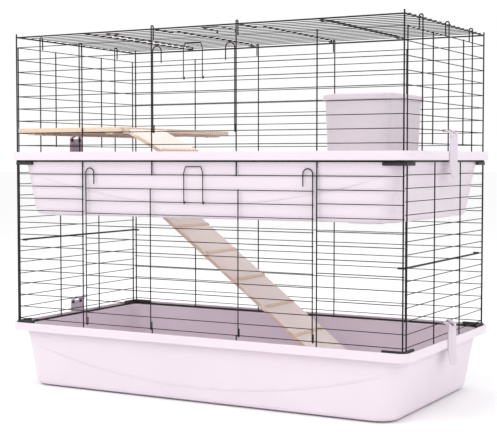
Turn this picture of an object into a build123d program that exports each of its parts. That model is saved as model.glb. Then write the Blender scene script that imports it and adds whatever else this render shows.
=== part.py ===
from build123d import *
import os

# Two-storey wire rabbit cage on two deep plastic trays.
# Millimetres, +X along the length, -Y to the front, +Z up.
# The origin is at the centre of the base tray's footprint, on the floor.

os.makedirs("parts", exist_ok=True)

# ---------------------------------------------------------------- overall sizes
cage_length = 1138.0  # between the centre lines of the end frame wires
cage_depth = 572.0  # between the centre lines of the front and back frame wires
lower_storey = 468.0  # base rim top to middle rim top
upper_storey = 313.0  # middle rim top to the roof edge wire

# ---------------------------------------------------------------- trays
tray_height = 174.0
rim_overhang = 15.0  # rim's outer face beyond the frame wires
rim_skirt = 22.0  # height of the rim's outer skirt
rim_lip = 6.0  # width of the rim's top lip
rim_corner = 26.0
ledge_drop = 9.0  # rim top down to the ledge that carries the wires
tray_wall = 3.0
wall_inset = 18.0  # body's outer face in from the rim's outer face
body_corner = 50.0
end_draft = 30.0  # how far each end slopes in
side_draft = 8.0  # how far the front and the back slope in
bottom_round = 14.0
foot_height = 4.0
foot_length = 90.0
foot_width = 26.0
foot_inset = 46.0  # foot's outer side in from the edge of the tray's bottom
foot_corner = 8.0
ledge_edge = 1.0  # ledge's sheet ends inside the rim's outer face
rib_half = 2.0  # half the width of the rib that rests on the wires
ring_corner_min = 4.0

# ---------------------------------------------------------------- wires
frame_d = 5.0  # bottom and top perimeter wires
roof_edge_d = 4.0
post_d = 4.0
upright_d = 3.4
row_d = 2.2
door_wire_d = 3.0
latch_d = 2.4
tie_rod_d = 5.0
running_gap = 0.3  # between wires that move past each other
end_upright_out = 2.0  # end uprights outside the perimeter wire's centre
corner_post_in = 2.0  # corner posts inside the perimeter wire's centre

corner_upright_gap = 11.0  # first end upright in from the front frame wire
inner_upright_x = 125.0
outer_upright_x = 346.0
end_long_y = 180.0
end_short_y = 110.0
lower_end_y = 93.0

upper_rows = 9
upper_top_gap = 27.8  # top row below the roof edge wire
upper_first_row = 18.0  # last row above the middle rim's top
lower_rows = 13
lower_top_gap = 59.6  # top row below the middle rim's top
lower_first_row = 10.0  # last row above the base rim's top
lower_end_rows = 14
lower_end_rise = 3.3  # top end row above the top front row
roof_rows = 16

hook_rise = 9.0  # hooked uprights above the roof edge wire
hook_width = 9.0
hook_tail = 26.0
hook_ease = 0.1  # keeps a little straight wire between two bends
short_top = 2.0  # short uprights above their first row
edge_gap = 0.1  # roof edge wire's ends off the corner posts

# ---------------------------------------------------------------- doors
upper_door_x = 121.0  # side wires of the upper door
lower_door_x = 335.0  # side wires of the lower and the roof door
door_row_drop = 3.5  # lower door's rows below the panel's rows
cane_width = 26.0
cane_rise = 17.0
cane_drop = 26.0
curl_tail = 17.0
curl_ease = 0.05
row_tuck = 0.3  # door rows end inside their side wires' outer faces
latch_half = 28.0
latch_handle_half = 23.0
latch_rise = 21.0
latch_bend = 1.4
latch_over = 0.9  # latch above the row that it catches
latch_end = 4.0
mid_wire_x = 130.0  # middle wires of the doors, beside the panel's short stubs
roof_opening_row = 3  # roof row in front of the roof door
roof_hinge_row = 16

# ---------------------------------------------------------------- clips and fittings
clip_width = 56.0
clip_wall = 3.0
clip_gap = 0.6  # clip's plate off the rim's outer face
clip_finger = 13.0
clip_finger_y = 18.0
clip_ring_wall = 3.0
clip_tooth = 4.5
clip_tooth_gap = 2.5
clip_tail = 42.0  # tail below the tooth
clip_flare = 6.0
clip_tooth_height = 7.0
clip_straight = 12.0  # straight tail under the tooth
clip_tail_round = 12.0
clip_plate_drop = 11.0  # plate's top below the row that the fingers hold
clip_finger_rise = 6.0  # fingers above the plate's top
clip_finger_root = 8.0  # fingers' roots below the plate's top
clip_crotch = 2.0
clip_ring_out = 1.0  # fingers meet their rings outside the row's centre
corner_leg = 60.0
corner_width = 7.0
corner_height = 8.0
corner_cut = 6.0
corner_margin = 1.2  # plastic outside the posts
corner_fit = 0.2  # radial clearance of a post in its block
tie_bend = 18.0
tie_end_gap = 3.0
left_tie_row = 7
right_tie_row = 8

# ---------------------------------------------------------------- wood and hide
board = 12.0
shelf_length = 341.5
shelf_end_gap = 1.5  # shelf's outer end in from the middle of the end rows
shelf_notch = 9.0  # notch in the shelf's end for the clip's fingers
shelf_notch_side = 4.0  # notch wider than the clip, each side
shelf_side_gap = 0.5
shelf_corner = 4.0
shelf_edge_round = 1.0
rod_d = 4.0
rod_fit = 0.06  # radial clearance of a rod in its cheeks
cheek = 7.0
cheek_gap = 1.0
cheek_half = 9.0  # half the length of a cheek on the floor
cheek_top = 6.0  # cheek above and beyond its rod's centre
shelf_cheek_drop = 5.0  # shelf's cheeks below the shelf
shelf_cheek_top = 1.0  # shelf's cheeks below the shelf's top
ramp_width = 176.0
ramp_board = 10.0
floor_gap = 0.4
main_ramp_slope = 37.0
main_ramp_back_gap = 90.0  # back edge of the main ramp in from the back wires
main_ramp_left_gap = 247.0  # hinge rod in from the left end wires
main_ramp_rise = 7.0  # hinge rod above the middle tray's floor
hatch_length = 276.0
hatch_clear = 3.0
hatch_behind = 12.0  # hatch behind the hinge rod
hatch_corner = 20.0
shelf_ramp_slope = 27.3
shelf_ramp_front_gap = 24.0  # front edge of the shelf's ramp in from the front wires
shelf_ramp_reach = 9.0  # hinge rod out from the shelf's edge
shelf_ramp_drop = 5.0  # hinge rod below the middle of the shelf
cleat_pitch = 118.0
cleat_height = 4.0
cleat_width = 9.0
cleat_end = 20.0  # no cleat nearer the ramp's foot than this
cleat_side = 4.0  # cleats in from the ramp's edges
main_cleat_start = 94.0
shelf_cleat_start = 118.0
batten_width = 24.0
batten_height = 6.0
batten_inset = 40.0  # battens in from the shelf's ends
batten_end_gap = 8.0
screw_spread = 0.8  # screws at this share of the batten's half length
screw_head_d = 7.0
screw_head = 1.6
screw_d = 3.0
hide_length = 193.0
hide_width = 224.0
hide_right_gap = 174.0  # hide in from the right end wires
hide_back_gap = 40.0  # hide in from the back wires
hide_height = 316.0
hide_flare = 13.0
hide_wall = 3.0
hide_front_round = 92.0
hide_round = 22.0
hide_door_width = 120.0
hide_door_height = 190.0
hide_lid_height = 16.0
hide_lid_top = 3.0
hide_lid_overhang = 6.0
hide_lid_fit = 1.0
hide_door_flat = 3.0  # flat part at the top of the hide's arched doorway

# ---------------------------------------------------------------- worked out
half_x = cage_length / 2
half_y = cage_depth / 2
rim_x = half_x + rim_overhang
rim_y = half_y + rim_overhang
base_rim = tray_height
middle_rim = base_rim + lower_storey
middle_bottom = middle_rim - tray_height
middle_floor = middle_bottom + foot_height + tray_wall
base_floor = foot_height + tray_wall
roof_z = middle_rim + upper_storey

row_in = (upright_d + row_d) / 2  # row behind its uprights
end_upright_x = half_x + end_upright_out
row_x = end_upright_x - row_in
row_y = half_y - row_in
lower_z0 = base_rim - ledge_drop + frame_d
lower_z1 = middle_rim - rim_skirt - frame_d
upper_z0 = middle_rim - ledge_drop + frame_d
corner_post_x = half_x - corner_post_in
end_post_y = half_y - corner_upright_gap
post_out = (post_d - upright_d) / 2  # posts stand out so that the rows touch them
corner_post_y = half_y + post_out
end_post_x = end_upright_x + post_out
corner_points = [(sx * corner_post_x, sy * corner_post_y) for sx in (-1, 1) for sy in (-1, 1)]
end_points = [(sx * end_post_x, sy * end_post_y) for sx in (-1, 1) for sy in (-1, 1)]

upper_row_pitch = (upper_storey - upper_first_row - upper_top_gap) / (upper_rows - 1)
lower_row_pitch = (lower_storey - lower_first_row - lower_top_gap) / (lower_rows - 1)
upper_row_z = [
    middle_rim + upper_first_row + upper_row_pitch * (upper_rows - 1 - i)
    for i in range(upper_rows)
]
lower_row_z = [
    base_rim + lower_first_row + lower_row_pitch * (lower_rows - 1 - i)
    for i in range(lower_rows)
]
lower_end_pitch = (lower_row_pitch * (lower_rows - 1) + lower_end_rise) / (lower_end_rows - 1)
lower_end_z = [
    base_rim + lower_first_row + lower_end_pitch * (lower_end_rows - 1 - i)
    for i in range(lower_end_rows)
]
edge_y = half_y - (upright_d + roof_edge_d) / 2
edge_x = end_upright_x - (upright_d + roof_edge_d) / 2
roof_row_z = roof_z + (roof_edge_d + row_d) / 2
roof_cross_z = roof_row_z - (row_d + upright_d) / 2
roof_pitch = 2 * half_y / (roof_rows + 1)
roof_row_y = [-half_y + roof_pitch * (k + 1) for k in range(roof_rows)]

door_off = (row_d + door_wire_d) / 2 + running_gap  # door's uprights off the rows
door_y = -row_y - door_off
door_row_y = door_y + (row_d + door_wire_d) / 2
door_row_end = door_wire_d / 2 - row_tuck
roof_door_z = roof_row_z + door_off
roof_door_row_z = roof_door_z - (row_d + door_wire_d) / 2
curl_r = door_off


# ---------------------------------------------------------------- helpers
def finish(piece, name):
    """Labels a piece and writes it."""
    piece.part.label = name
    export_step(piece.part, f"parts/{name}.step")


def wires_x(points, x0, x1, diameter):
    """Straight wires along X through the (y, z) points."""
    with BuildSketch(Plane.YZ.offset(x0)) as ends:
        with Locations(*points):
            Circle(diameter / 2)
    extrude(ends.sketch, amount=x1 - x0)


def wires_y(points, y0, y1, diameter):
    """Straight wires along Y through the (x, z) points."""
    with BuildSketch(Plane.XZ.offset(-y1)) as ends:
        with Locations(*points):
            Circle(diameter / 2)
    extrude(ends.sketch, amount=y1 - y0)


def wires_z(points, z0, z1, diameter):
    """Straight wires along Z through the (x, y) points."""
    with BuildSketch(Plane.XY.offset(z0)) as ends:
        with Locations(*points):
            Circle(diameter / 2)
    extrude(ends.sketch, amount=z1 - z0)


def bent_wire(points, bend, diameter):
    """One wire along the points, with its corners bent to a radius."""
    with BuildLine() as route:
        FilletPolyline(*points, radius=bend)
    start = route.line @ 0
    along = route.line % 0
    with BuildSketch(Plane(origin=start, z_dir=along)) as section:
        Circle(diameter / 2)
    sweep(section.sketch, path=route.line)


def ring(outer, inset_out, inset_in, z0, z1, corner):
    """A flat frame between two insets of a rounded rectangle."""
    length, width = outer
    with BuildSketch(Plane.XY.offset(z0)) as frame:
        RectangleRounded(length - 2 * inset_out, width - 2 * inset_out, corner - inset_out)
        RectangleRounded(
            length - 2 * inset_in,
            width - 2 * inset_in,
            max(corner - inset_in, ring_corner_min),
            mode=Mode.SUBTRACT,
        )
    extrude(frame.sketch, amount=z1 - z0)


# ---------------------------------------------------------------- trays
def make_tray(z0, hatch=None):
    """A deep tray with sloping walls, a ledge for the wires and a skirted rim."""
    rim = (2 * rim_x, 2 * rim_y)
    top = z0 + tray_height
    ledge = top - ledge_drop
    wall_top = ledge - tray_wall
    bottom = z0 + foot_height
    body = (rim[0] - 2 * wall_inset, rim[1] - 2 * wall_inset)
    foot = (body[0] - 2 * end_draft, body[1] - 2 * side_draft)
    with BuildPart() as tray:
        with BuildSketch(Plane.XY.offset(bottom)):
            RectangleRounded(*foot, body_corner)
        with BuildSketch(Plane.XY.offset(ledge)):
            RectangleRounded(*body, body_corner)
        loft()
        fillet(tray.edges().group_by(Axis.Z)[0], bottom_round)
        with BuildSketch(Plane.XY.offset(bottom + tray_wall)):
            RectangleRounded(foot[0] - 2 * tray_wall, foot[1] - 2 * tray_wall, body_corner - tray_wall)
        with BuildSketch(Plane.XY.offset(ledge)):
            RectangleRounded(body[0] - 2 * tray_wall, body[1] - 2 * tray_wall, body_corner - tray_wall)
        loft(mode=Mode.SUBTRACT)
        ledge_in = wall_inset + tray_wall / 2
        with BuildSketch(Plane.XY.offset(wall_top)):
            RectangleRounded(rim[0] - 2 * ledge_edge, rim[1] - 2 * ledge_edge, rim_corner - ledge_edge)
            RectangleRounded(
                rim[0] - 2 * ledge_in, rim[1] - 2 * ledge_in, body_corner, mode=Mode.SUBTRACT
            )
        extrude(amount=tray_wall)
        ring(rim, 0, rim_lip, wall_top, top, rim_corner)
        ring(rim, 0, tray_wall, top - rim_skirt, wall_top, rim_corner)
        rib_in = rim_overhang - rib_half
        rib_out = rim_overhang + rib_half
        ring(rim, rib_in, rib_out, top - rim_skirt, wall_top, rim_corner + rib_in)
        foot_x = foot[0] / 2 - foot_inset - foot_length / 2
        foot_y = foot[1] / 2 - foot_inset - foot_width / 2
        with BuildSketch(Plane.XY.offset(z0)):
            with GridLocations(2 * foot_x, 2 * foot_y, 2, 2):
                RectangleRounded(foot_length, foot_width, foot_corner)
        extrude(amount=foot_height + tray_wall / 2)
        if hatch:
            centre, size = hatch
            with BuildSketch(Plane.XY.offset(z0)):
                with Locations(centre):
                    RectangleRounded(*size, hatch_corner)
            extrude(amount=foot_height + 2 * tray_wall, mode=Mode.SUBTRACT)
    return tray


main_ramp_top_x = -half_x + main_ramp_left_gap
main_ramp_front = half_y - main_ramp_back_gap - ramp_width
hatch_x0 = main_ramp_top_x - hatch_behind
hatch_y0 = main_ramp_front - hatch_clear
hatch_width = ramp_width + 2 * hatch_clear
hatch_centre = (hatch_x0 + hatch_length / 2, hatch_y0 + hatch_width / 2)

base_tray = make_tray(0.0)
finish(base_tray, "base_tray")
middle_tray = make_tray(middle_bottom, (hatch_centre, (hatch_length, hatch_width)))
finish(middle_tray, "middle_tray")


# ---------------------------------------------------------------- perimeter wires
def frame_wires(z, x, y, diameter):
    """Four straight wires that meet at the corners of a storey."""
    wires_x([(-y, z), (y, z)], -x - diameter / 2, x + diameter / 2, diameter)
    wires_y([(-x, z), (x, z)], -y + diameter / 2, y - diameter / 2, diameter)


with BuildPart() as lower_bottom_frame:
    frame_wires(base_rim - ledge_drop + frame_d / 2, half_x, half_y, frame_d)
finish(lower_bottom_frame, "lower_bottom_frame")

with BuildPart() as lower_top_frame:
    frame_wires(middle_rim - rim_skirt - frame_d / 2, half_x, half_y, frame_d)
finish(lower_top_frame, "lower_top_frame")

with BuildPart() as upper_bottom_frame:
    frame_wires(middle_rim - ledge_drop + frame_d / 2, half_x, half_y, frame_d)
finish(upper_bottom_frame, "upper_bottom_frame")

edge_end_x = edge_x - roof_edge_d / 2
edge_end_y = half_y - post_d / 2 - edge_gap
with BuildPart() as roof_edge_frame:
    wires_x([(-edge_y, roof_z), (edge_y, roof_z)], -edge_end_x, edge_end_x, roof_edge_d)
    wires_y([(-edge_x, roof_z), (edge_x, roof_z)], -edge_end_y, edge_end_y, roof_edge_d)
finish(roof_edge_frame, "roof_edge_frame")


# ---------------------------------------------------------------- corner blocks
def corner_blocks(z):
    """Four angled plastic blocks that brace the corners of a frame."""
    outer_x = end_post_x + post_d / 2 + corner_margin
    outer_y = corner_post_y + post_d / 2 + corner_margin
    for sx in (-1, 1):
        for sy in (-1, 1):
            with BuildSketch(Plane.XY.offset(z)) as angle:
                with BuildLine():
                    Polyline(
                        (sx * outer_x, sy * (outer_y - corner_cut)),
                        (sx * (outer_x - corner_cut), sy * outer_y),
                        (sx * (outer_x - corner_leg), sy * outer_y),
                        (sx * (outer_x - corner_leg), sy * (outer_y - corner_width)),
                        (sx * (outer_x - corner_width), sy * (outer_y - corner_width)),
                        (sx * (outer_x - corner_width), sy * (outer_y - corner_leg)),
                        (sx * outer_x, sy * (outer_y - corner_leg)),
                        close=True,
                    )
                make_face()
            extrude(angle.sketch, amount=corner_height)
    with BuildSketch(Plane.XY.offset(z)) as bores:
        with Locations(*corner_points, *end_points):
            Circle(post_d / 2 + corner_fit)
    extrude(bores.sketch, amount=corner_height, mode=Mode.SUBTRACT)


with BuildPart() as lower_corner_blocks:
    corner_blocks(lower_z0)
finish(lower_corner_blocks, "lower_corner_blocks")

with BuildPart() as middle_corner_blocks:
    corner_blocks(lower_z1 - corner_height)
finish(middle_corner_blocks, "middle_corner_blocks")

# ---------------------------------------------------------------- lower storey
row_end = corner_post_x + post_d / 2
lower_open = outer_upright_x - upright_d / 2
long_spots = [(sx * outer_upright_x) for sx in (-1, 1)]
inner_spots = [(sx * inner_upright_x) for sx in (-1, 1)]

with BuildPart() as lower_corner_posts:
    wires_z(corner_points + end_points, lower_z0, lower_z1, post_d)
finish(lower_corner_posts, "lower_corner_posts")

with BuildPart() as lower_front_uprights:
    wires_z([(x, -half_y) for x in long_spots], lower_z0, lower_z1, upright_d)
    wires_z([(x, -half_y) for x in inner_spots], lower_row_z[0] - short_top, lower_z1, upright_d)
    wires_z([(x, -half_y) for x in inner_spots], lower_z0, lower_row_z[-1] + short_top, upright_d)
finish(lower_front_uprights, "lower_front_uprights")

with BuildPart() as lower_front_rows:
    wires_x([(-row_y, z) for z in (lower_row_z[0], lower_row_z[-1])], -row_end, row_end, row_d)
    wires_x([(-row_y, z) for z in lower_row_z[1:-1]], -row_end, -lower_open, row_d)
    wires_x([(-row_y, z) for z in lower_row_z[1:-1]], lower_open, row_end, row_d)
finish(lower_front_rows, "lower_front_rows")

with BuildPart() as lower_back_uprights:
    wires_z([(x, half_y) for x in long_spots + inner_spots], lower_z0, lower_z1, upright_d)
finish(lower_back_uprights, "lower_back_uprights")

with BuildPart() as lower_back_rows:
    wires_x([(row_y, z) for z in lower_row_z], -row_end, row_end, row_d)
finish(lower_back_rows, "lower_back_rows")

end_row_y = end_post_y + post_d / 2
for side, name in ((-1, "left"), (1, "right")):
    with BuildPart() as lower_end_uprights:
        spots = [(side * end_upright_x, y) for y in (-lower_end_y, lower_end_y)]
        wires_z(spots, lower_z0, lower_z1, upright_d)
    finish(lower_end_uprights, f"lower_{name}_uprights")
    with BuildPart() as lower_end_wires:
        wires_y([(side * row_x, z) for z in lower_end_z], -end_row_y, end_row_y, row_d)
    finish(lower_end_wires, f"lower_{name}_rows")

for side, name, row in ((-1, "left", left_tie_row), (1, "right", right_tie_row)):
    with BuildPart() as tie_rod:
        tie_x = side * (row_x - row_d / 2 - tie_rod_d / 2)
        tie_z = lower_end_z[row - 1]
        reach = end_post_y - tie_end_gap
        bent_wire(
            [
                (tie_x - side * tie_bend, -reach, tie_z),
                (tie_x, -reach, tie_z),
                (tie_x, reach, tie_z),
                (tie_x - side * tie_bend, reach, tie_z),
            ],
            tie_rod_d,
            tie_rod_d,
        )
    finish(tie_rod, f"tie_rod_{name}")


# ---------------------------------------------------------------- upper storey
def hooked_upright(x, y, lean_x, lean_y, diameter):
    """An upright that hooks over the roof edge wire and ends in a tail inside."""
    top = roof_z + hook_rise
    inside = (x + lean_x * hook_width, y + lean_y * hook_width)
    bent_wire(
        [
            (x, y, upper_z0),
            (x, y, top),
            (*inside, top),
            (*inside, roof_z - hook_tail),
        ],
        hook_width / 2 - hook_ease,
        diameter,
    )


with BuildPart() as upper_corner_posts:
    wires_z(corner_points, upper_z0, roof_z + hook_rise, post_d)
finish(upper_corner_posts, "upper_corner_posts")

upper_open = inner_upright_x - upright_d / 2
upper_short_top = upper_row_z[0] + short_top

with BuildPart() as upper_front_uprights:
    wires_z([(x, -half_y) for x in long_spots], upper_z0, upper_short_top, upright_d)
    for x in inner_spots:
        hooked_upright(x, -half_y, 0, 1, upright_d)
finish(upper_front_uprights, "upper_front_uprights")

with BuildPart() as upper_front_rows:
    whole = [upper_row_z[0], upper_row_z[1], upper_row_z[-2], upper_row_z[-1]]
    cut = upper_row_z[2:-2]
    wires_x([(-row_y, z) for z in whole], -row_end, row_end, row_d)
    wires_x([(-row_y, z) for z in cut], -row_end, -upper_open, row_d)
    wires_x([(-row_y, z) for z in cut], upper_open, row_end, row_d)
finish(upper_front_rows, "upper_front_rows")

with BuildPart() as upper_back_uprights:
    wires_z([(x, half_y) for x in long_spots], upper_z0, upper_short_top, upright_d)
    for x in inner_spots:
        hooked_upright(x, half_y, 0, -1, upright_d)
finish(upper_back_uprights, "upper_back_uprights")

with BuildPart() as upper_back_rows:
    wires_x([(row_y, z) for z in upper_row_z], -row_end, row_end, row_d)
finish(upper_back_rows, "upper_back_rows")

for side, name in ((-1, "left"), (1, "right")):
    with BuildPart() as upper_end_uprights:
        outer_short = [(side * end_upright_x, y) for y in (-end_post_y, end_post_y)]
        inner_short = [(side * end_upright_x, y) for y in (-end_short_y, end_short_y)]
        wires_z(outer_short, upper_z0, upper_short_top, upright_d)
        wires_z(inner_short, upper_row_z[-1] - short_top, upper_short_top, upright_d)
        for y in (-end_long_y, 0, end_long_y):
            hooked_upright(side * end_upright_x, y, -side, 0, upright_d)
    finish(upper_end_uprights, f"upper_{name}_uprights")
    with BuildPart() as upper_end_wires:
        wires_y([(side * row_x, z) for z in upper_row_z], -end_row_y, end_row_y, row_d)
    finish(upper_end_wires, f"upper_{name}_rows")

# ---------------------------------------------------------------- roof
roof_row_end = edge_x + roof_edge_d / 2
roof_cut = roof_row_y[roof_opening_row : roof_hinge_row - 1]
roof_front_y = roof_row_y[roof_opening_row - 1]
roof_hinge_y = roof_row_y[roof_hinge_row - 1]
cross_end = edge_y - roof_edge_d / 2

with BuildPart() as roof_row_wires:
    whole = [y for y in roof_row_y if y not in roof_cut]
    wires_x([(y, roof_row_z) for y in whole], -roof_row_end, roof_row_end, row_d)
    wires_x([(y, roof_row_z) for y in roof_cut], -roof_row_end, -lower_open, row_d)
    wires_x([(y, roof_row_z) for y in roof_cut], lower_open, roof_row_end, row_d)
finish(roof_row_wires, "roof_rows")

with BuildPart() as roof_cross_wires:
    wires_y([(x, roof_cross_z) for x in long_spots], -cross_end, cross_end, upright_d)
    stubs = [(x, roof_cross_z) for x in inner_spots]
    wires_y(stubs, -cross_end + hook_width, roof_front_y + short_top, upright_d)
    wires_y(stubs, roof_hinge_y - short_top, cross_end - hook_width, upright_d)
finish(roof_cross_wires, "roof_cross_wires")


# ---------------------------------------------------------------- doors
def door_points(points, place):
    """Turns (x, off, along) points of a door into places."""
    return [place(*point) for point in points]


def on_front(hinge_z):
    """A door that stands in the front: off the rows is -Y, along is +Z."""
    return lambda x, off, along: (x, -row_y - off, hinge_z + along)


def on_roof(hinge_y):
    """A door that lies in the roof: off the rows is +Z, along is -Y."""
    return lambda x, off, along: (x, hinge_y - along, roof_row_z + off)


def side_wire(x, span, place):
    """A door's side wire: a curl round the hinge row and a cane hook at the top."""
    inward = -1 if x > 0 else 1
    cane_x = x + inward * cane_width
    points = [
        (x, -curl_r, curl_tail),
        (x, -curl_r, -curl_r),
        (x, curl_r, -curl_r),
        (x, curl_r, span + cane_rise - cane_width / 2),
    ]
    with BuildLine() as route:
        FilletPolyline(*door_points(points, place), radius=curl_r - curl_ease)
        cane_base = place(x, curl_r, span + cane_rise - cane_width / 2)
        cane_top = place((x + cane_x) / 2, curl_r, span + cane_rise)
        cane_over = place(cane_x, curl_r, span + cane_rise - cane_width / 2)
        ThreePointArc(cane_base, cane_top, cane_over)
        Line(cane_over, place(cane_x, curl_r, span - cane_drop))
    with BuildSketch(Plane(origin=route.line @ 0, z_dir=route.line % 0)) as section:
        Circle(door_wire_d / 2)
    sweep(section.sketch, path=route.line)


def mid_wire(x, span, place):
    """A door's middle wire: a curl round the hinge row, straight to the first door row."""
    points = [
        (x, -curl_r, curl_tail),
        (x, -curl_r, -curl_r),
        (x, curl_r, -curl_r),
        (x, curl_r, span),
    ]
    bent_wire(door_points(points, place), curl_r - curl_ease, door_wire_d)


def latch_wire(pivot, catch, place):
    """A bent wire latch that turns on the door's second row and catches over the panel."""
    grip = (row_d + latch_d) / 2 + running_gap
    over = catch + grip + latch_over
    points = [
        (-latch_half, door_lay - grip, pivot + latch_end),
        (-latch_half, door_lay - grip, pivot - grip),
        (-latch_half, door_lay + grip, pivot - grip),
        (-latch_half, door_lay + grip, over),
        (-latch_half, 0.0, over),
        (-latch_handle_half, 0.0, catch + latch_rise),
        (latch_handle_half, 0.0, catch + latch_rise),
        (latch_half, 0.0, over),
        (latch_half, door_lay + grip, over),
        (latch_half, door_lay + grip, pivot - grip),
        (latch_half, door_lay - grip, pivot - grip),
        (latch_half, door_lay - grip, pivot + latch_end),
    ]
    bent_wire(door_points(points, place), latch_bend, latch_d)


door_lay = door_off - (row_d + door_wire_d) / 2  # door's rows off the panel's rows

# Upper front door, hinged on the eighth row
upper_hinge_z = upper_row_z[-2]
upper_span = upper_row_z[1] - upper_hinge_z
upper_place = on_front(upper_hinge_z)
with BuildPart() as upper_door_sides:
    for x in (-upper_door_x, upper_door_x):
        side_wire(x, upper_span, upper_place)
finish(upper_door_sides, "upper_door_sides")

with BuildPart() as upper_door_row_wires:
    door_end = upper_door_x + door_row_end
    wires_x([(door_row_y, z) for z in upper_row_z[2:-2]], -door_end, door_end, row_d)
finish(upper_door_row_wires, "upper_door_rows")

with BuildPart() as upper_latch:
    latch_wire(upper_row_z[3] - upper_hinge_z, upper_span, upper_place)
finish(upper_latch, "upper_door_latch")

# Lower front door, hinged on the last row
lower_hinge_z = lower_row_z[-1]
lower_span = lower_row_z[0] - lower_hinge_z
lower_place = on_front(lower_hinge_z)
lower_door_z = [z - door_row_drop for z in lower_row_z[1:-1]]
with BuildPart() as lower_door_sides:
    for x in (-lower_door_x, lower_door_x):
        side_wire(x, lower_span, lower_place)
finish(lower_door_sides, "lower_door_sides")

with BuildPart() as lower_door_mids:
    for x in (-mid_wire_x, mid_wire_x):
        mid_wire(x, lower_door_z[0] + short_top - lower_hinge_z, lower_place)
finish(lower_door_mids, "lower_door_mids")

with BuildPart() as lower_door_row_wires:
    door_end = lower_door_x + door_row_end
    wires_x([(door_row_y, z) for z in lower_door_z], -door_end, door_end, row_d)
finish(lower_door_row_wires, "lower_door_rows")

with BuildPart() as lower_latch:
    latch_wire(lower_door_z[1] - lower_hinge_z, lower_span, lower_place)
finish(lower_latch, "lower_door_latch")

# Roof door, hinged on the last roof row
roof_span = roof_hinge_y - roof_front_y
roof_place = on_roof(roof_hinge_y)
with BuildPart() as roof_door_sides:
    for x in (-lower_door_x, lower_door_x):
        side_wire(x, roof_span, roof_place)
finish(roof_door_sides, "roof_door_sides")

with BuildPart() as roof_door_mids:
    for x in (-mid_wire_x, mid_wire_x):
        mid_wire(x, roof_hinge_y - roof_cut[0] + short_top, roof_place)
finish(roof_door_mids, "roof_door_mids")

with BuildPart() as roof_door_row_wires:
    wires_x([(y, roof_door_row_z) for y in roof_cut], -door_end, door_end, row_d)
finish(roof_door_row_wires, "roof_door_rows")

with BuildPart() as roof_latch:
    latch_wire(roof_hinge_y - roof_cut[1], roof_span, roof_place)
finish(roof_latch, "roof_door_latch")


# ---------------------------------------------------------------- clips
def make_clip(side, pivot_z, rim_top):
    """A plastic clip: two fingers round an end row, a plate over the rim and a tooth under it."""
    inner = rim_x + clip_gap
    outer = inner + clip_wall
    tooth_top = rim_top - rim_skirt - clip_tooth_gap
    tail_end = tooth_top - clip_tail
    plate_top = pivot_z - clip_plate_drop
    straight_end = tooth_top - clip_straight
    ring_hole = row_d / 2 + running_gap
    ring_r = ring_hole + clip_ring_wall
    ring_x = row_x + clip_ring_out
    with BuildPart() as clip:
        with BuildSketch(Plane.XZ):
            with BuildLine():
                Polyline(
                    (side * inner, plate_top),
                    (side * outer, plate_top),
                    (side * outer, straight_end),
                    (side * (outer + clip_flare), tail_end),
                    (side * (outer + clip_flare - clip_wall), tail_end),
                    (side * inner, straight_end),
                    (side * inner, tooth_top - clip_tooth_height),
                    (side * (inner - clip_tooth), tooth_top),
                    (side * inner, tooth_top),
                    close=True,
                )
            make_face()
        extrude(amount=clip_width / 2, both=True)
        fillet(clip.edges().filter_by(Axis.X).group_by(Axis.Z)[0], clip_tail_round)
        for y in (-clip_finger_y, clip_finger_y):
            with BuildSketch(Plane.XZ.offset(-y)):
                with BuildLine():
                    Polyline(
                        (side * ring_x, pivot_z + ring_r),
                        (side * outer, plate_top + clip_finger_rise),
                        (side * outer, plate_top - clip_finger_root),
                        (side * inner, plate_top - clip_finger_root),
                        (side * inner, plate_top + clip_crotch),
                        (side * ring_x, pivot_z - ring_r),
                        close=True,
                    )
                make_face()
                with Locations((side * row_x, pivot_z)):
                    Circle(ring_r)
                    Circle(ring_hole, mode=Mode.SUBTRACT)
            extrude(amount=clip_finger / 2, both=True)
    return clip


upper_clip_z = upper_row_z[-2]
lower_clip_z = lower_end_z[-2]
clip_places = (
    ("upper_left_clip", -1, upper_clip_z, middle_rim),
    ("upper_right_clip", 1, upper_clip_z, middle_rim),
    ("lower_left_clip", -1, lower_clip_z, base_rim),
    ("lower_right_clip", 1, lower_clip_z, base_rim),
)
for name, side, pivot_z, rim_top in clip_places:
    finish(make_clip(side, pivot_z, rim_top), name)

# ---------------------------------------------------------------- shelf
shelf_z = upper_row_z[-2] + row_d / 2
shelf_x0 = -row_x + shelf_end_gap
shelf_x1 = shelf_x0 + shelf_length
shelf_half_y = half_y - upright_d / 2 - shelf_side_gap
shelf_mid = (shelf_x0 + shelf_x1) / 2

with BuildPart() as shelf:
    with BuildSketch(Plane.XY.offset(shelf_z)):
        with Locations((shelf_mid, 0)):
            RectangleRounded(shelf_length, 2 * shelf_half_y, shelf_corner)
        with Locations((shelf_x0, 0)):
            Rectangle(2 * shelf_notch, clip_width + 2 * shelf_notch_side, mode=Mode.SUBTRACT)
    extrude(amount=board)
    fillet(shelf.edges().group_by(Axis.Z)[-1], shelf_edge_round)
finish(shelf, "shelf")

batten_x = [shelf_x0 + batten_inset, shelf_x1 - batten_inset]
batten_half = row_y - batten_end_gap
batten_z = shelf_z - batten_height
screw_y = batten_half * screw_spread
screw_spots = [(x, sy * screw_y) for x in batten_x for sy in (-1, 1)]
with BuildPart() as shelf_battens:
    with BuildSketch(Plane.XY.offset(batten_z)):
        with Locations(*[(x, 0) for x in batten_x]):
            Rectangle(batten_width, 2 * batten_half)
    extrude(amount=batten_height)
    with BuildSketch(Plane.XY.offset(batten_z)):
        with Locations(*screw_spots):
            Circle(screw_d / 2)
    extrude(amount=batten_height, mode=Mode.SUBTRACT)
finish(shelf_battens, "shelf_battens")

with BuildPart() as batten_screws:
    wires_z(screw_spots, batten_z, shelf_z, screw_d)
    wires_z(screw_spots, batten_z - screw_head, batten_z, screw_head_d)
finish(batten_screws, "batten_screws")


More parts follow.
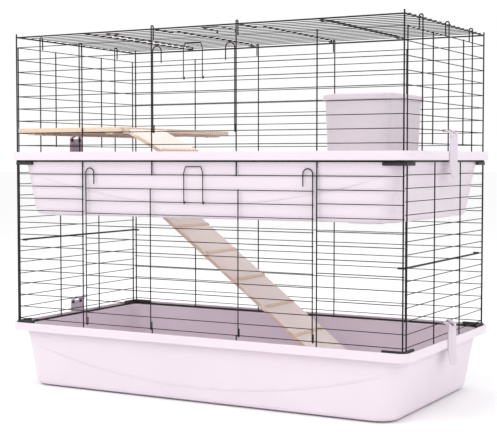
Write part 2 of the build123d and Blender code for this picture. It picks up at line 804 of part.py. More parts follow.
# ---------------------------------------------------------------- ramps
def ramp_plane(pivot, slope, y):
    """A plane in the ramp's side, X down the ramp and Y square to it."""
    down = Vector(1, 0, 0).rotate(Axis.Y, slope)
    return Plane(origin=(pivot[0], y, pivot[1]), x_dir=down, z_dir=(0, -1, 0))


def ramp_length(pivot, slope, floor):
    """How long a ramp is from its rod to its end on a floor."""
    end_z = floor + floor_gap + ramp_board / 2 * Vector(0, 0, 1).rotate(Axis.Y, slope).Z
    return (pivot[1] - end_z) / -Vector(1, 0, 0).rotate(Axis.Y, slope).Z


def make_ramp(pivot, slope, front, length):
    """A board with a round 0.0, bored for its hinge rod."""
    with BuildPart() as ramp:
        with BuildSketch(ramp_plane(pivot, slope, front + ramp_width)):
            with Locations((length / 2, 0)):
                Rectangle(length, ramp_board)
            Circle(ramp_board / 2)
            Circle(rod_d / 2, mode=Mode.SUBTRACT)
        extrude(amount=ramp_width)
    return ramp


def make_cleats(pivot, slope, front, start, length):
    """Thin strips across a ramp, one for each step, from a start to near its foot."""
    count = int((length - start - cleat_end) / cleat_pitch) + 1
    middle = ramp_board / 2 + cleat_height / 2
    with BuildPart() as cleats:
        with BuildSketch(ramp_plane(pivot, slope, front + ramp_width - cleat_side)):
            with Locations(*[(start + i * cleat_pitch, middle) for i in range(count)]):
                Rectangle(cleat_width, cleat_height)
        extrude(amount=ramp_width - 2 * cleat_side)
    return cleats


def make_rod(pivot, front):
    """The rod through a ramp's nose and its two cheeks."""
    with BuildPart() as rod:
        reach = cheek_gap + cheek
        wires_y([pivot], front - reach, front + ramp_width + reach, rod_d)
    return rod


def make_cheeks(pivot, front, x0, x1, z0, z1):
    """The two blocks that carry a rod's ends."""
    with BuildPart() as cheeks:
        for y in (front - cheek_gap, front + ramp_width + cheek_gap + cheek):
            with BuildSketch(Plane.XZ.offset(-y)):
                with Locations(((x0 + x1) / 2, (z0 + z1) / 2)):
                    Rectangle(x1 - x0, z1 - z0)
                with Locations(pivot):
                    Circle(rod_d / 2 + rod_fit, mode=Mode.SUBTRACT)
            extrude(amount=cheek)
    return cheeks


main_pivot = (main_ramp_top_x, middle_floor + main_ramp_rise)
main_length = ramp_length(main_pivot, main_ramp_slope, base_floor)
main_place = (main_pivot, main_ramp_slope, main_ramp_front)
finish(make_ramp(*main_place, main_length), "main_ramp")
finish(make_cleats(*main_place, main_cleat_start, main_length), "main_ramp_cleats")
finish(make_rod(main_pivot, main_ramp_front), "main_ramp_rod")
main_cheek_x = (main_pivot[0] - cheek_half, main_pivot[0] + cheek_half)
main_cheek_z = (middle_floor, main_pivot[1] + cheek_top)
main_cheeks = make_cheeks(main_pivot, main_ramp_front, *main_cheek_x, *main_cheek_z)
finish(main_cheeks, "main_ramp_cheeks")

shelf_pivot = (shelf_x1 + shelf_ramp_reach, shelf_z + board / 2 - shelf_ramp_drop)
shelf_ramp_front = -half_y + shelf_ramp_front_gap
shelf_ramp_len = ramp_length(shelf_pivot, shelf_ramp_slope, middle_floor)
shelf_place = (shelf_pivot, shelf_ramp_slope, shelf_ramp_front)
finish(make_ramp(*shelf_place, shelf_ramp_len), "shelf_ramp")
finish(make_cleats(*shelf_place, shelf_cleat_start, shelf_ramp_len), "shelf_ramp_cleats")
finish(make_rod(shelf_pivot, shelf_ramp_front), "shelf_ramp_rod")
shelf_cheek_x = (shelf_x1, shelf_pivot[0] + cheek_top)
shelf_cheek_z = (shelf_z - shelf_cheek_drop, shelf_z + board - shelf_cheek_top)
shelf_cheeks = make_cheeks(shelf_pivot, shelf_ramp_front, *shelf_cheek_x, *shelf_cheek_z)
finish(shelf_cheeks, "shelf_ramp_cheeks")


# ---------------------------------------------------------------- hide
hide_right = half_x - hide_right_gap
hide_left = hide_right - hide_length
hide_back = half_y - hide_back_gap
hide_front = hide_back - hide_width


def hide_outline(z, grow, inset):
    """The hide's outline at a height: a large round front-left corner, small round others."""
    x0, x1 = hide_left - grow + inset, hide_right + grow - inset
    y0, y1 = hide_front - grow + inset, hide_back + grow - inset
    with BuildSketch(Plane.XY.offset(z)) as outline:
        with Locations(((x0 + x1) / 2, (y0 + y1) / 2)):
            Rectangle(x1 - x0, y1 - y0)
        front_left = outline.vertices().sort_by(lambda v: v.X + v.Y)[0]
        others = outline.vertices().sort_by(lambda v: v.X + v.Y)[1:]
        fillet(front_left, hide_front_round + grow - inset)
        fillet(others, hide_round - inset)
    return outline.sketch


hide_z0 = middle_floor + floor_gap
hide_z1 = hide_z0 + hide_height
with BuildPart() as hide:
    loft([hide_outline(hide_z0, 0, 0), hide_outline(hide_z1, hide_flare, 0)])
    inside_low = hide_outline(hide_z0, 0, hide_wall)
    inside_high = hide_outline(hide_z1 - hide_wall, hide_flare, hide_wall)
    loft([inside_low, inside_high], mode=Mode.SUBTRACT)
    hide_door_y = (hide_front + hide_front_round + hide_back) / 2
    hide_door_round = (hide_door_width - hide_door_flat) / 2
    with BuildSketch(Plane.YZ.offset(hide_left - 2 * hide_flare)):
        with Locations((hide_door_y, hide_z0)):
            RectangleRounded(hide_door_width, 2 * hide_door_height, hide_door_round)
    extrude(amount=4 * hide_flare, mode=Mode.SUBTRACT)
finish(hide, "hide_body")

with BuildPart() as hide_lid:
    lid_z0 = hide_z1 + hide_lid_top - hide_lid_height
    lid_grow = hide_flare + hide_lid_overhang
    extrude(hide_outline(lid_z0, lid_grow, 0), amount=hide_lid_height)
    lid_inside = hide_outline(lid_z0, hide_flare + hide_lid_fit, 0)
    extrude(lid_inside, amount=hide_lid_height - hide_lid_top, mode=Mode.SUBTRACT)
finish(hide_lid, "hide_lid")
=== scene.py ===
"""Looks of a two-storey wire rabbit cage: wires, trays, clips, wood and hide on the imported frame."""

import logging
import math
from dataclasses import dataclass, replace
from enum import Enum
from itertools import product
from typing import Callable, Iterable, Optional, Sequence

import bmesh
import bpy
from mathutils import Matrix, Vector


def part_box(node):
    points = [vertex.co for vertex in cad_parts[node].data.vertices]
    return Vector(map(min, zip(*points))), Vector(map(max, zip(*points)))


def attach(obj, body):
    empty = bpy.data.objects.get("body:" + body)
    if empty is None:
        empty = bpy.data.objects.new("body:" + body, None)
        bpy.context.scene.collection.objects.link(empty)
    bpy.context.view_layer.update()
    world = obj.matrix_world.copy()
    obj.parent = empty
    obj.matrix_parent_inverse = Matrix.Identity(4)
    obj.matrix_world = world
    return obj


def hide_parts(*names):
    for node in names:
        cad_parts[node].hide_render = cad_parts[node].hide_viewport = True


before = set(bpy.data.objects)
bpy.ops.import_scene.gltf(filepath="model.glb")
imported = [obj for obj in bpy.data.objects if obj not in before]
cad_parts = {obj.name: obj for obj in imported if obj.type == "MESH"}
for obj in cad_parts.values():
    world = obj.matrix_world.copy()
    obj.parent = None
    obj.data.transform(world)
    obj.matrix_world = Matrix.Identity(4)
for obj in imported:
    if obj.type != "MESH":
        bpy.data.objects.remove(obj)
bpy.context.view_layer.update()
SIDES = ("front", "back", "left", "right")
CORNERS = ((1, 1), (-1, 1), (-1, -1), (1, -1))
HATCH = ((-0.196, 0.108), (0.138, 0.091), 0.02)  # centre, half sizes, corner radius
SHELF_NOTCH = (0.009, 0.032)  # depth, half width
RAMP_SLOPES = {"main_ramp": 37.0, "shelf_ramp": 27.3}  # degrees
Mesh = bmesh.types.BMesh
Material = bpy.types.Material
Object = bpy.types.Object
Tree = bpy.types.NodeTree
Socket = bpy.types.NodeSocket
Node = bpy.types.Node
Point = tuple[float, float, float]
Flat = tuple[float, float]
log = logging.getLogger("cage")


class Lie(Enum):
    """How a door lies when it is shut."""

    UPRIGHT = "upright"
    FLAT = "flat"


def add_node(tree: Tree, kind: str, **inputs: object) -> Node:
    """Adds a node, and links or sets the inputs that are given.

    Args:
        tree: The tree.
        kind: The node's type.
        inputs: Sockets or values by input name, with _ for a space.

    Returns:
        The node.
    """
    node = tree.nodes.new(kind)
    for name, value in inputs.items():
        socket = node.inputs[name.replace("_", " ")]
        if isinstance(value, Socket):
            tree.links.new(value, socket)
        else:
            socket.default_value = value
    return node


def add_object(name: str, data: bpy.types.ID) -> Object:
    """Makes an object of some data and links it to the scene.

    Args:
        name: The object's name.
        data: Its mesh, light or camera.

    Returns:
        The new object.
    """
    obj = bpy.data.objects.new(name, data)
    bpy.context.scene.collection.objects.link(obj)
    return obj


# ------------------------------------------------------------------ finishes
@dataclass(frozen=True)
class Finish:
    """A surface finish: a colour that drifts a little, a roughness that varies, and a fine relief."""

    name: str
    colour: Point
    drift: Point
    roughness: Flat = (0.35, 0.5)
    metallic: float = 0.0
    specular: float = 0.5
    drift_scale: float = 4.0
    grain_scale: float = 700.0
    relief: float = 0.05
    relief_depth: float = 0.0004
    mix_span: Flat = (0.3, 0.7)

    def material(self) -> Material:
        """Builds the node material.

        Returns:
            The new material.
        """
        mat = bpy.data.materials.new(self.name)
        mat.use_nodes = True
        mat.diffuse_color = (*self.colour, 1.0)
        tree = mat.node_tree
        shader = tree.nodes["Principled BSDF"]
        shader.inputs["Metallic"].default_value = self.metallic
        shader.inputs["Specular IOR Level"].default_value = self.specular
        coords = tree.nodes.new("ShaderNodeTexCoord").outputs["Object"]
        tree.links.new(self.colour_output(tree, coords), shader.inputs["Base Color"])
        patches = self.noise(tree, coords, self.drift_scale * 9, 4.0)
        spread = add_node(tree, "ShaderNodeMapRange", Value=patches, To_Min=self.roughness[0],
                          To_Max=self.roughness[1])
        tree.links.new(spread.outputs["Result"], shader.inputs["Roughness"])
        bump = add_node(tree, "ShaderNodeBump", Strength=self.relief, Distance=self.relief_depth,
                        Height=self.noise(tree, coords, self.grain_scale, 3.0))
        tree.links.new(bump.outputs["Normal"], shader.inputs["Normal"])
        self.extra(shader)
        return mat

    def noise(self, tree: Tree, coords: Socket, scale: float, detail: float) -> Socket:
        """Adds a noise texture.

        Args:
            tree: The material's tree.
            coords: The coordinates it reads.
            scale: Its scale.
            detail: Its detail.

        Returns:
            The noise's value socket.
        """
        return add_node(tree, "ShaderNodeTexNoise", Vector=coords, Scale=scale, Detail=detail).outputs["Fac"]

    def colour_output(self, tree: Tree, coords: Socket) -> Socket:
        """Mixes the two colours by a wide noise.

        Args:
            tree: The material's tree.
            coords: The coordinates it reads.

        Returns:
            The colour socket.
        """
        return self.mix(tree, self.noise(tree, coords, self.drift_scale, 2.0))

    def mix(self, tree: Tree, factor: Socket) -> Socket:
        """Mixes the two colours by a factor.

        Args:
            tree: The material's tree.
            factor: The socket that chooses between them.

        Returns:
            The colour socket.
        """
        ramp = add_node(tree, "ShaderNodeValToRGB", Fac=factor)
        for stop, spot, colour in zip(ramp.color_ramp.elements, self.mix_span, (self.colour, self.drift)):
            stop.position = spot
            stop.color = (*colour, 1.0)
        return ramp.outputs["Color"]

    def extra(self, shader: Node) -> None:
        """Adds nothing; kinds of finish that need more nodes extend this."""


@dataclass(frozen=True)
class MouldedPlastic(Finish):
    """Satin moulded plastic, a little translucent, with a soft sheen."""

    glow: float = 0.12
    glow_depth: float = 0.01
    glow_colour: Point = (1.0, 0.8, 0.9)
    coat: float = 0.12
    coat_roughness: float = 0.3

    def extra(self, shader: Node) -> None:
        """Lets light sink a little into the plastic, under a soft coat.

        Args:
            shader: The material's shader.
        """
        for socket, value in (("Subsurface Weight", self.glow), ("Subsurface Scale", self.glow_depth),
                              ("Subsurface Radius", self.glow_colour), ("Coat Weight", self.coat),
                              ("Coat Roughness", self.coat_roughness)):
            shader.inputs[socket].default_value = value


@dataclass(frozen=True)
class Wood(Finish):
    """Plain sanded softwood: long streaks along X, turned down by a slope about Y."""

    slope: float = 0.0
    rings: float = 26.0
    stretch: Point = (0.9, 9.0, 9.0)
    waver: float = 5.0

    def colour_output(self, tree: Tree, coords: Socket) -> Socket:
        """Draws growth rings stretched along the grain.

        Args:
            tree: The material's tree.
            coords: The coordinates it reads.

        Returns:
            The colour socket.
        """
        turn = add_node(tree, "ShaderNodeVectorRotate", Vector=coords, Angle=-self.slope)
        turn.rotation_type = "Y_AXIS"
        grain = add_node(tree, "ShaderNodeMapping", Vector=turn.outputs["Vector"], Scale=self.stretch)
        wave = add_node(tree, "ShaderNodeTexWave", Vector=grain.outputs["Vector"], Detail=3.0,
                        Scale=self.rings / self.stretch[1], Distortion=self.waver, Detail_Scale=1.4)
        wave.bands_direction = "Y"
        return self.mix(tree, wave.outputs["Fac"])


TRAY = MouldedPlastic("lilac_plastic", (0.75, 0.665, 0.735), (0.785, 0.69, 0.765), (0.3, 0.42))
CLIP = MouldedPlastic("clip_plastic", (0.58, 0.5, 0.575), (0.65, 0.57, 0.645), (0.28, 0.4))
HIDE = MouldedPlastic("hide_plastic", (0.68, 0.61, 0.665), (0.77, 0.7, 0.755), (0.3, 0.44))
BLACK = Finish("black_plastic", (0.012, 0.012, 0.013), (0.025, 0.024, 0.026), (0.45, 0.65), relief=0.2)
COAT = Finish("powder_coat", (0.0075, 0.0045, 0.0042), (0.018, 0.011, 0.01), (0.4, 0.6), specular=0.3,
              relief=0.25, grain_scale=1400.0, relief_depth=0.0002)
ZINC = Finish("zinc_steel", (0.55, 0.55, 0.56), (0.63, 0.63, 0.62), (0.25, 0.45), metallic=1.0)
SHELF_WOOD = Wood("shelf_wood", (0.93, 0.85, 0.81), (0.87, 0.75, 0.68), (0.5, 0.7), relief=0.3)
# Darker wood that the boards' upright edges get as painted shade, while flat faces get the pale wood;
# battens, cheeks and cleats also use it whole.
SHADED_EDGE_WOOD = Wood("edge_wood", (0.84, 0.69, 0.58), (0.71, 0.54, 0.41), (0.6, 0.8), relief=0.4)


# ------------------------------------------------------------------ mesh helpers
def to_object(name: str, bm: Mesh, *finishes: Material) -> Object:
    """Turns a bmesh into a linked object with its normals outward and doubles merged.

    Args:
        name: The object's name.
        bm: The mesh, which is freed.
        finishes: Its materials, in slot order.

    Returns:
        The new object.
    """
    bmesh.ops.remove_doubles(bm, verts=bm.verts, dist=1e-6)
    bmesh.ops.recalc_face_normals(bm, faces=bm.faces)
    mesh = bpy.data.meshes.new(name)
    bm.to_mesh(mesh)
    bm.free()
    for finish in finishes:
        mesh.materials.append(finish)
    return add_object(name, mesh)


def settle(obj: Object) -> Object:
    """Applies an object's modifiers, so that only a plain mesh is left.

    Args:
        obj: The object with its modifiers.

    Returns:
        The same object with the evaluated mesh.
    """
    graph = bpy.context.evaluated_depsgraph_get()
    graph.update()
    mesh = bpy.data.meshes.new_from_object(obj.evaluated_get(graph))
    mesh.name = obj.name
    obj.modifiers.clear()
    obj.data = mesh
    return obj


def soften(obj: Object, width: float = 0.0, segments: int = 2) -> Object:
    """Rounds sharp edges and smooths the shading by face area.

    Args:
        obj: The piece.
        width: The bevel's width, or 0 for none.
        segments: The bevel's segments.

    Returns:
        The finished piece.
    """
    if width:
        bevel = obj.modifiers.new("edges", "BEVEL")
        bevel.width = width
        bevel.segments = segments
        bevel.limit_method = "ANGLE"
        bevel.angle_limit = math.radians(35)
    for face in obj.data.polygons:
        face.use_smooth = True
    weighted = obj.modifiers.new("shading", "WEIGHTED_NORMAL")
    weighted.keep_sharp = True
    return settle(obj)


def rounded_loop(half: Flat, radii: Sequence[float], z: float, centre: Flat = (0.0, 0.0),
                 steps: int = 8) -> list[Vector]:
    """Points round a rounded rectangle, counter-clockwise from the +X +Y corner.

    Args:
        half: Its half sizes.
        radii: The radii of its corners: +X+Y, -X+Y, -X-Y, +X-Y.
        z: Its height.
        centre: Its centre.
        steps: Spans of each corner.

    Returns:
        The points.
    """
    points = []
    for k, (sx, sy) in enumerate(CORNERS):
        radius = min(radii[k], half[0], half[1])
        cx = centre[0] + sx * (half[0] - radius)
        cy = centre[1] + sy * (half[1] - radius)
        for i in range(steps + 1):
            a = math.pi / 2 * (k + i / steps)
            points.append(Vector((cx + radius * math.cos(a), cy + radius * math.sin(a), z)))
    return points


def eased(profile: Sequence[Sequence[float]], radii: Sequence[float],
          steps: int = 3) -> list[tuple[float, ...]]:
    """Rounds the corners of a profile whose vertices may have any number of values.

    Args:
        profile: The vertices.
        radii: How far each corner is cut back.
        steps: Spans of each rounded corner.

    Returns:
        The rounded profile.
    """
    spots = [Vector(p) for p in profile]
    out = [tuple(spots[0])]
    for before, at, after, radius in zip(spots, spots[1:], spots[2:], radii[1:]):
        cut = min(radius, (at - before).length / 2.01, (after - at).length / 2.01)
        if cut <= 1e-5:
            out.append(tuple(at))
            continue
        a = at + (before - at).normalized() * cut
        b = at + (after - at).normalized() * cut
        for i in range(steps + 1):
            t = i / steps
            out.append(tuple(a * (1 - t) ** 2 + at * 2 * t * (1 - t) + b * t ** 2))
    out.append(tuple(spots[-1]))
    return out


def skin(bm: Mesh, loops: Sequence[Sequence[Vector]], ends: tuple[bool, bool],
         wrap: bool = False) -> None:
    """Joins loops of equal length with quads.

    Args:
        bm: The mesh that gets the faces.
        loops: The loops in order.
        ends: Whether the first and the last loop are closed with a face.
        wrap: Whether the last loop joins the first.
    """
    rows = [[bm.verts.new(p) for p in loop] for loop in loops]
    pairs = list(zip(rows, rows[1:])) + ([(rows[-1], rows[0])] if wrap else [])
    for low, high in pairs:
        for i in range(len(low)):
            j = (i + 1) % len(low)
            bm.faces.new((low[i], low[j], high[j], high[i]))
    for closed, row in zip(ends, (rows[0], rows[-1])):
        if closed:
            bm.faces.new(row)


def at_end(side: int) -> Callable[[float, float, float], Vector]:
    """Places (out from the middle, up, across) at the left end for -1 or the right end for 1."""
    return lambda out, up, across: Vector((side * out, across, up))


def slab(bm: Mesh, outline: Sequence[Flat], span: Flat,
         place: Callable[[float, float, float], Vector]) -> None:
    """Adds a closed prism of an outline.

    Args:
        bm: The mesh that gets the faces.
        outline: The outline's points.
        span: Where it starts and ends across the outline.
        place: Turns (u, v, across) into a point.
    """
    loops = [[place(u, v, w) for u, v in outline] for w in span]
    skin(bm, loops, (True, True))


# ------------------------------------------------------------------ wires
@dataclass
class Wire:
    """One wire: the points along its middle and its radius."""

    points: list[Vector]
    radius: float


def islands(node: str) -> list[tuple[Vector, Vector]]:
    """The boxes of a CAD node's separate solids, in a steady order.

    Args:
        node: The node's name.

    Returns:
        The lowest and highest corner of each solid.
    """
    bm = bmesh.new()
    bm.from_mesh(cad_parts[node].data)
    bmesh.ops.remove_doubles(bm, verts=bm.verts, dist=1e-5)
    seen: set[bmesh.types.BMVert] = set()
    boxes = []
    for start in bm.verts:
        if start in seen:
            continue
        seen.add(start)
        stack, low, high = [start], start.co.copy(), start.co.copy()
        while stack:
            vert = stack.pop()
            low = Vector(map(min, low, vert.co))
            high = Vector(map(max, high, vert.co))
            for edge in vert.link_edges:
                other = edge.other_vert(vert)
                if other not in seen:
                    seen.add(other)
                    stack.append(other)
        boxes.append((low, high))
    bm.free()
    return sorted(boxes, key=lambda b: tuple(round(v, 4) for v in (*b[0], *b[1])))


def straight_wire(low: Vector, high: Vector, out_of_round: float = 0.00025,
                  thickest: float = 0.007) -> Optional[Wire]:
    """Reads a straight wire from its solid's box.

    Args:
        low: The lowest corner.
        high: The highest corner.
        out_of_round: How much its two thicknesses may differ.
        thickest: The thickness past which a box holds a bent wire.

    Returns:
        The wire, or None where it is bent.
    """
    size = high - low
    run = max(range(3), key=lambda i: size[i])
    across = [size[i] for i in range(3) if i != run]
    if abs(across[0] - across[1]) > out_of_round or across[0] > thickest:
        return None
    middle = (low + high) / 2
    start, end = middle.copy(), middle.copy()
    start[run], end[run] = low[run], high[run]
    return Wire([start, end], sum(across) / 4)


def bend(points: Sequence[Vector], radius: float, steps: int = 5) -> list[Vector]:
    """Rounds the corners of a wire's path and returns its points."""
    return [Vector(p) for p in eased(points, [radius] * len(points), steps)]


class WireTree:
    """The node tree that gives every path a round coated body and a bead at each weld."""

    def __init__(self, finish: Material) -> None:
        """Builds the tree.

        Args:
            finish: The material that its Set Material node gives.
        """
        self.tree = bpy.data.node_groups.new("coated_wires", "GeometryNodeTree")
        self.sockets: dict[str, str] = {}
        face = self.tree.interface
        face.new_socket("Paths", in_out="INPUT", socket_type="NodeSocketGeometry")
        for name, kind, value in (("Sides", "NodeSocketInt", 10), ("Weld size", "NodeSocketFloat", 1.0),
                                  ("Weld flatness", "NodeSocketFloat", 0.8), ("Seed", "NodeSocketInt", 7)):
            socket = face.new_socket(name, in_out="INPUT", socket_type=kind)
            socket.default_value = value
            self.sockets[name] = socket.identifier
        face.new_socket("Wires", in_out="OUTPUT", socket_type="NodeSocketGeometry")
        self._build(finish)

    def _named(self, name: str, kind: str) -> Socket:
        """Reads a named attribute.

        Args:
            name: The attribute's name.
            kind: Its data type.

        Returns:
            Its value socket.
        """
        node = add_node(self.tree, "GeometryNodeInputNamedAttribute", Name=name)
        node.data_type = kind
        return next(s for s in node.outputs if s.name == "Attribute" and s.enabled)

    def _build(self, finish: Material) -> None:
        """Adds the nodes: swept paths, instanced beads, realised and painted.

        Args:
            finish: The material that every path and bead gets.
        """
        tree = self.tree
        inlet = tree.nodes.new("NodeGroupInput").outputs
        radius = self._named("wire_radius", "FLOAT")
        curves = add_node(tree, "GeometryNodeMeshToCurve", Mesh=inlet["Paths"])
        sized = add_node(tree, "GeometryNodeSetCurveRadius", Curve=curves.outputs[0], Radius=radius)
        circle = add_node(tree, "GeometryNodeCurvePrimitiveCircle", Resolution=inlet["Sides"], Radius=1.0)
        sweep = add_node(tree, "GeometryNodeCurveToMesh", Curve=sized.outputs[0],
                         Profile_Curve=circle.outputs[0], Fill_Caps=True)
        if "Scale" in sweep.inputs:
            tree.links.new(radius, sweep.inputs["Scale"])
        welded = self._named("weld", "BOOLEAN")
        spots = add_node(tree, "GeometryNodeMeshToPoints", Mesh=inlet["Paths"], Selection=welded)
        bead = add_node(tree, "GeometryNodeMeshIcoSphere", Radius=1.0, Subdivisions=2)
        scale = add_node(tree, "ShaderNodeCombineXYZ", X=inlet["Weld size"], Y=inlet["Weld size"],
                         Z=inlet["Weld flatness"])
        sized_bead = tree.nodes.new("ShaderNodeVectorMath")
        sized_bead.operation = "SCALE"
        tree.links.new(scale.outputs[0], sized_bead.inputs[0])
        tree.links.new(radius, sized_bead.inputs["Scale"])
        turn = add_node(tree, "FunctionNodeRandomValue", Seed=inlet["Seed"])
        turn.data_type = "FLOAT_VECTOR"
        turn.inputs[1].default_value = (math.pi, math.pi, math.pi)
        spun = next(s for s in turn.outputs if s.enabled)
        beads = add_node(tree, "GeometryNodeInstanceOnPoints", Points=spots.outputs[0],
                         Instance=bead.outputs[0], Rotation=spun, Scale=sized_bead.outputs[0])
        joined = tree.nodes.new("GeometryNodeJoinGeometry")
        tree.links.new(sweep.outputs[0], joined.inputs[0])
        tree.links.new(beads.outputs[0], joined.inputs[0])
        real = add_node(tree, "GeometryNodeRealizeInstances", Geometry=joined.outputs[0])
        smooth = add_node(tree, "GeometryNodeSetShadeSmooth", Geometry=real.outputs[0])
        paint = add_node(tree, "GeometryNodeSetMaterial", Geometry=smooth.outputs[0], Material=finish)
        tree.links.new(paint.outputs[0], tree.nodes.new("NodeGroupOutput").inputs[0])

    def make(self, name: str, wires: Sequence[Wire], welds: Sequence[tuple[Vector, float]],
             **inputs: float) -> Object:
        """Makes one plain mesh of some wires and their welds.

        Args:
            name: The piece's name.
            wires: The wires.
            welds: Each weld's place and radius.
            inputs: Values for the tree's named inputs.

        Returns:
            The piece, with no modifier left on it.
        """
        verts, edges, radii, marks = [], [], [], []
        for wire in wires:
            start = len(verts)
            verts += wire.points
            radii += [wire.radius] * len(wire.points)
            marks += [False] * len(wire.points)
            edges += [(start + i, start + i + 1) for i in range(len(wire.points) - 1)]
        for place, radius in welds:
            verts.append(place)
            radii.append(radius)
            marks.append(True)
        mesh = bpy.data.meshes.new(name)
        mesh.from_pydata(verts, edges, [])
        mesh.attributes.new("wire_radius", "FLOAT", "POINT").data.foreach_set("value", radii)
        mesh.attributes.new("weld", "BOOLEAN", "POINT").data.foreach_set("value", marks)
        obj = add_object(name, mesh)
        modifier = obj.modifiers.new("wires", "NODES")
        modifier.node_group = self.tree
        for key, value in inputs.items():
            modifier[self.sockets[key.replace("_", " ")]] = value
        return settle(obj)


@dataclass
class WirePanels:
    """A set of welded wires that belong to one body."""

    tree: WireTree
    hook_tail: float = 0.026
    hook_bend: float = 0.0044
    weld_share: float = 1.25
    weldable_run: float = 0.012
    touch: Flat = (0.5, 1.15)

    def wires(self, nodes: Iterable[str], roof_z: float) -> list[Wire]:
        """Reads every wire of some CAD nodes, hooked uprights among them.

        Args:
            nodes: The nodes.
            roof_z: The height of the roof edge wire, which the hooks go over.

        Returns:
            The wires.
        """
        found = []
        for node in nodes:
            if node.endswith("_frame"):
                found += self.perimeter(*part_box(node))
                continue
            for low, high in islands(node):
                wire = straight_wire(low, high)
                found.append(wire or self.hooked(low, high, roof_z))
        return found

    def perimeter(self, low: Vector, high: Vector) -> list[Wire]:
        """Makes the four wires of a storey's perimeter.

        Args:
            low: Their lowest corner.
            high: Their highest corner.

        Returns:
            The four wires, which meet at the corners.
        """
        radius = (high.z - low.z) / 2
        x, y, z = high.x - radius, high.y - radius, (low.z + high.z) / 2
        corners = [Vector((sx * x, sy * y, z)) for sx, sy in CORNERS]
        return [Wire([corners[i], corners[(i + 1) % 4]], radius) for i in range(4)]

    def hooked(self, low: Vector, high: Vector, roof_z: float) -> Wire:
        """Makes an upright that hooks over the roof edge and ends in a tail inside.

        Args:
            low: Its solid's lowest corner.
            high: Its solid's highest corner.
            roof_z: The height of the roof edge wire.

        Returns:
            The bent wire.
        """
        size = high - low
        lean = 0 if size.x > size.y else 1
        radius = min(size.x, size.y) / 2
        outside = (low + high) / 2
        inside = outside.copy()
        sign = 1 if outside[lean] > 0 else -1
        reach = size[lean] / 2 - radius
        outside[lean] += sign * reach
        inside[lean] -= sign * reach
        top = high.z - radius
        path = [Vector((outside.x, outside.y, low.z)), Vector((outside.x, outside.y, top)),
                Vector((inside.x, inside.y, top)), Vector((inside.x, inside.y, roof_z - self.hook_tail))]
        return Wire(bend(path, self.hook_bend, 6), radius)

    def welds(self, wires: Sequence[Wire]) -> list[tuple[Vector, float]]:
        """Finds where straight wires cross and touch.

        Args:
            wires: The wires of one body.

        Returns:
            Each weld's place and radius.
        """
        out = []
        runs = [Wire([a, b], w.radius) for w in wires for a, b in self._long_runs(w)]
        for i, one in enumerate(runs):
            for two in runs[i + 1:]:
                spot = self._crossing(one, two)
                if spot:
                    out.append((spot, min(one.radius, two.radius) * self.weld_share))
        return out

    def _long_runs(self, wire: Wire) -> list[tuple[Vector, Vector]]:
        """The straight stretches of a wire that are long enough to be welded."""
        return [(a, b) for a, b in zip(wire.points, wire.points[1:]) if (b - a).length > self.weldable_run]

    def _crossing(self, one: Wire, two: Wire) -> Optional[Vector]:
        """Finds where two wires cross at right angles and touch.

        Args:
            one: The first wire.
            two: The second wire.

        Returns:
            The point, or None.
        """
        a, b = one.points
        c, d = two.points
        along, across = (b - a), (d - c)
        i = max(range(3), key=lambda k: abs(along[k]))
        j = max(range(3), key=lambda k: abs(across[k]))
        if i == j:
            return None
        k = 3 - i - j
        reach = one.radius + two.radius
        if abs(a[k] - c[k]) > reach * self.touch[1] or abs(a[k] - c[k]) < reach * self.touch[0]:
            return None
        if not min(a[i], b[i]) - reach <= c[i] <= max(a[i], b[i]) + reach:
            return None
        if not min(c[j], d[j]) - reach <= a[j] <= max(c[j], d[j]) + reach:
            return None
        spot = Vector((0.0, 0.0, 0.0))
        spot[i] = min(max(c[i], min(a[i], b[i])), max(a[i], b[i]))
        spot[j] = min(max(a[j], min(c[j], d[j])), max(c[j], d[j]))
        spot[k] = a[k] + (c[k] - a[k]) * one.radius / reach
        return spot

    def build(self, name: str, body: str, nodes: Sequence[str], roof_z: float,
              more: Sequence[Wire] = ()) -> Object:
        """Builds, welds and places one piece.

        Args:
            name: The piece's name.
            body: The body it rides on.
            nodes: The CAD nodes it stands for.
            roof_z: The height of the roof edge wire.
            more: Bent wires that are given by path, in place of nodes read from boxes.

        Returns:
            The finished piece.
        """
        wires = self.wires(nodes, roof_z) + list(more)
        piece = self.tree.make(name, wires, self.welds(wires), Sides=10, Weld_size=1.0, Weld_flatness=0.8,
                               Seed=7)
        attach(piece, body)
        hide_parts(*nodes)
        log.info("%s: %d wires", name, len(wires))
        return piece


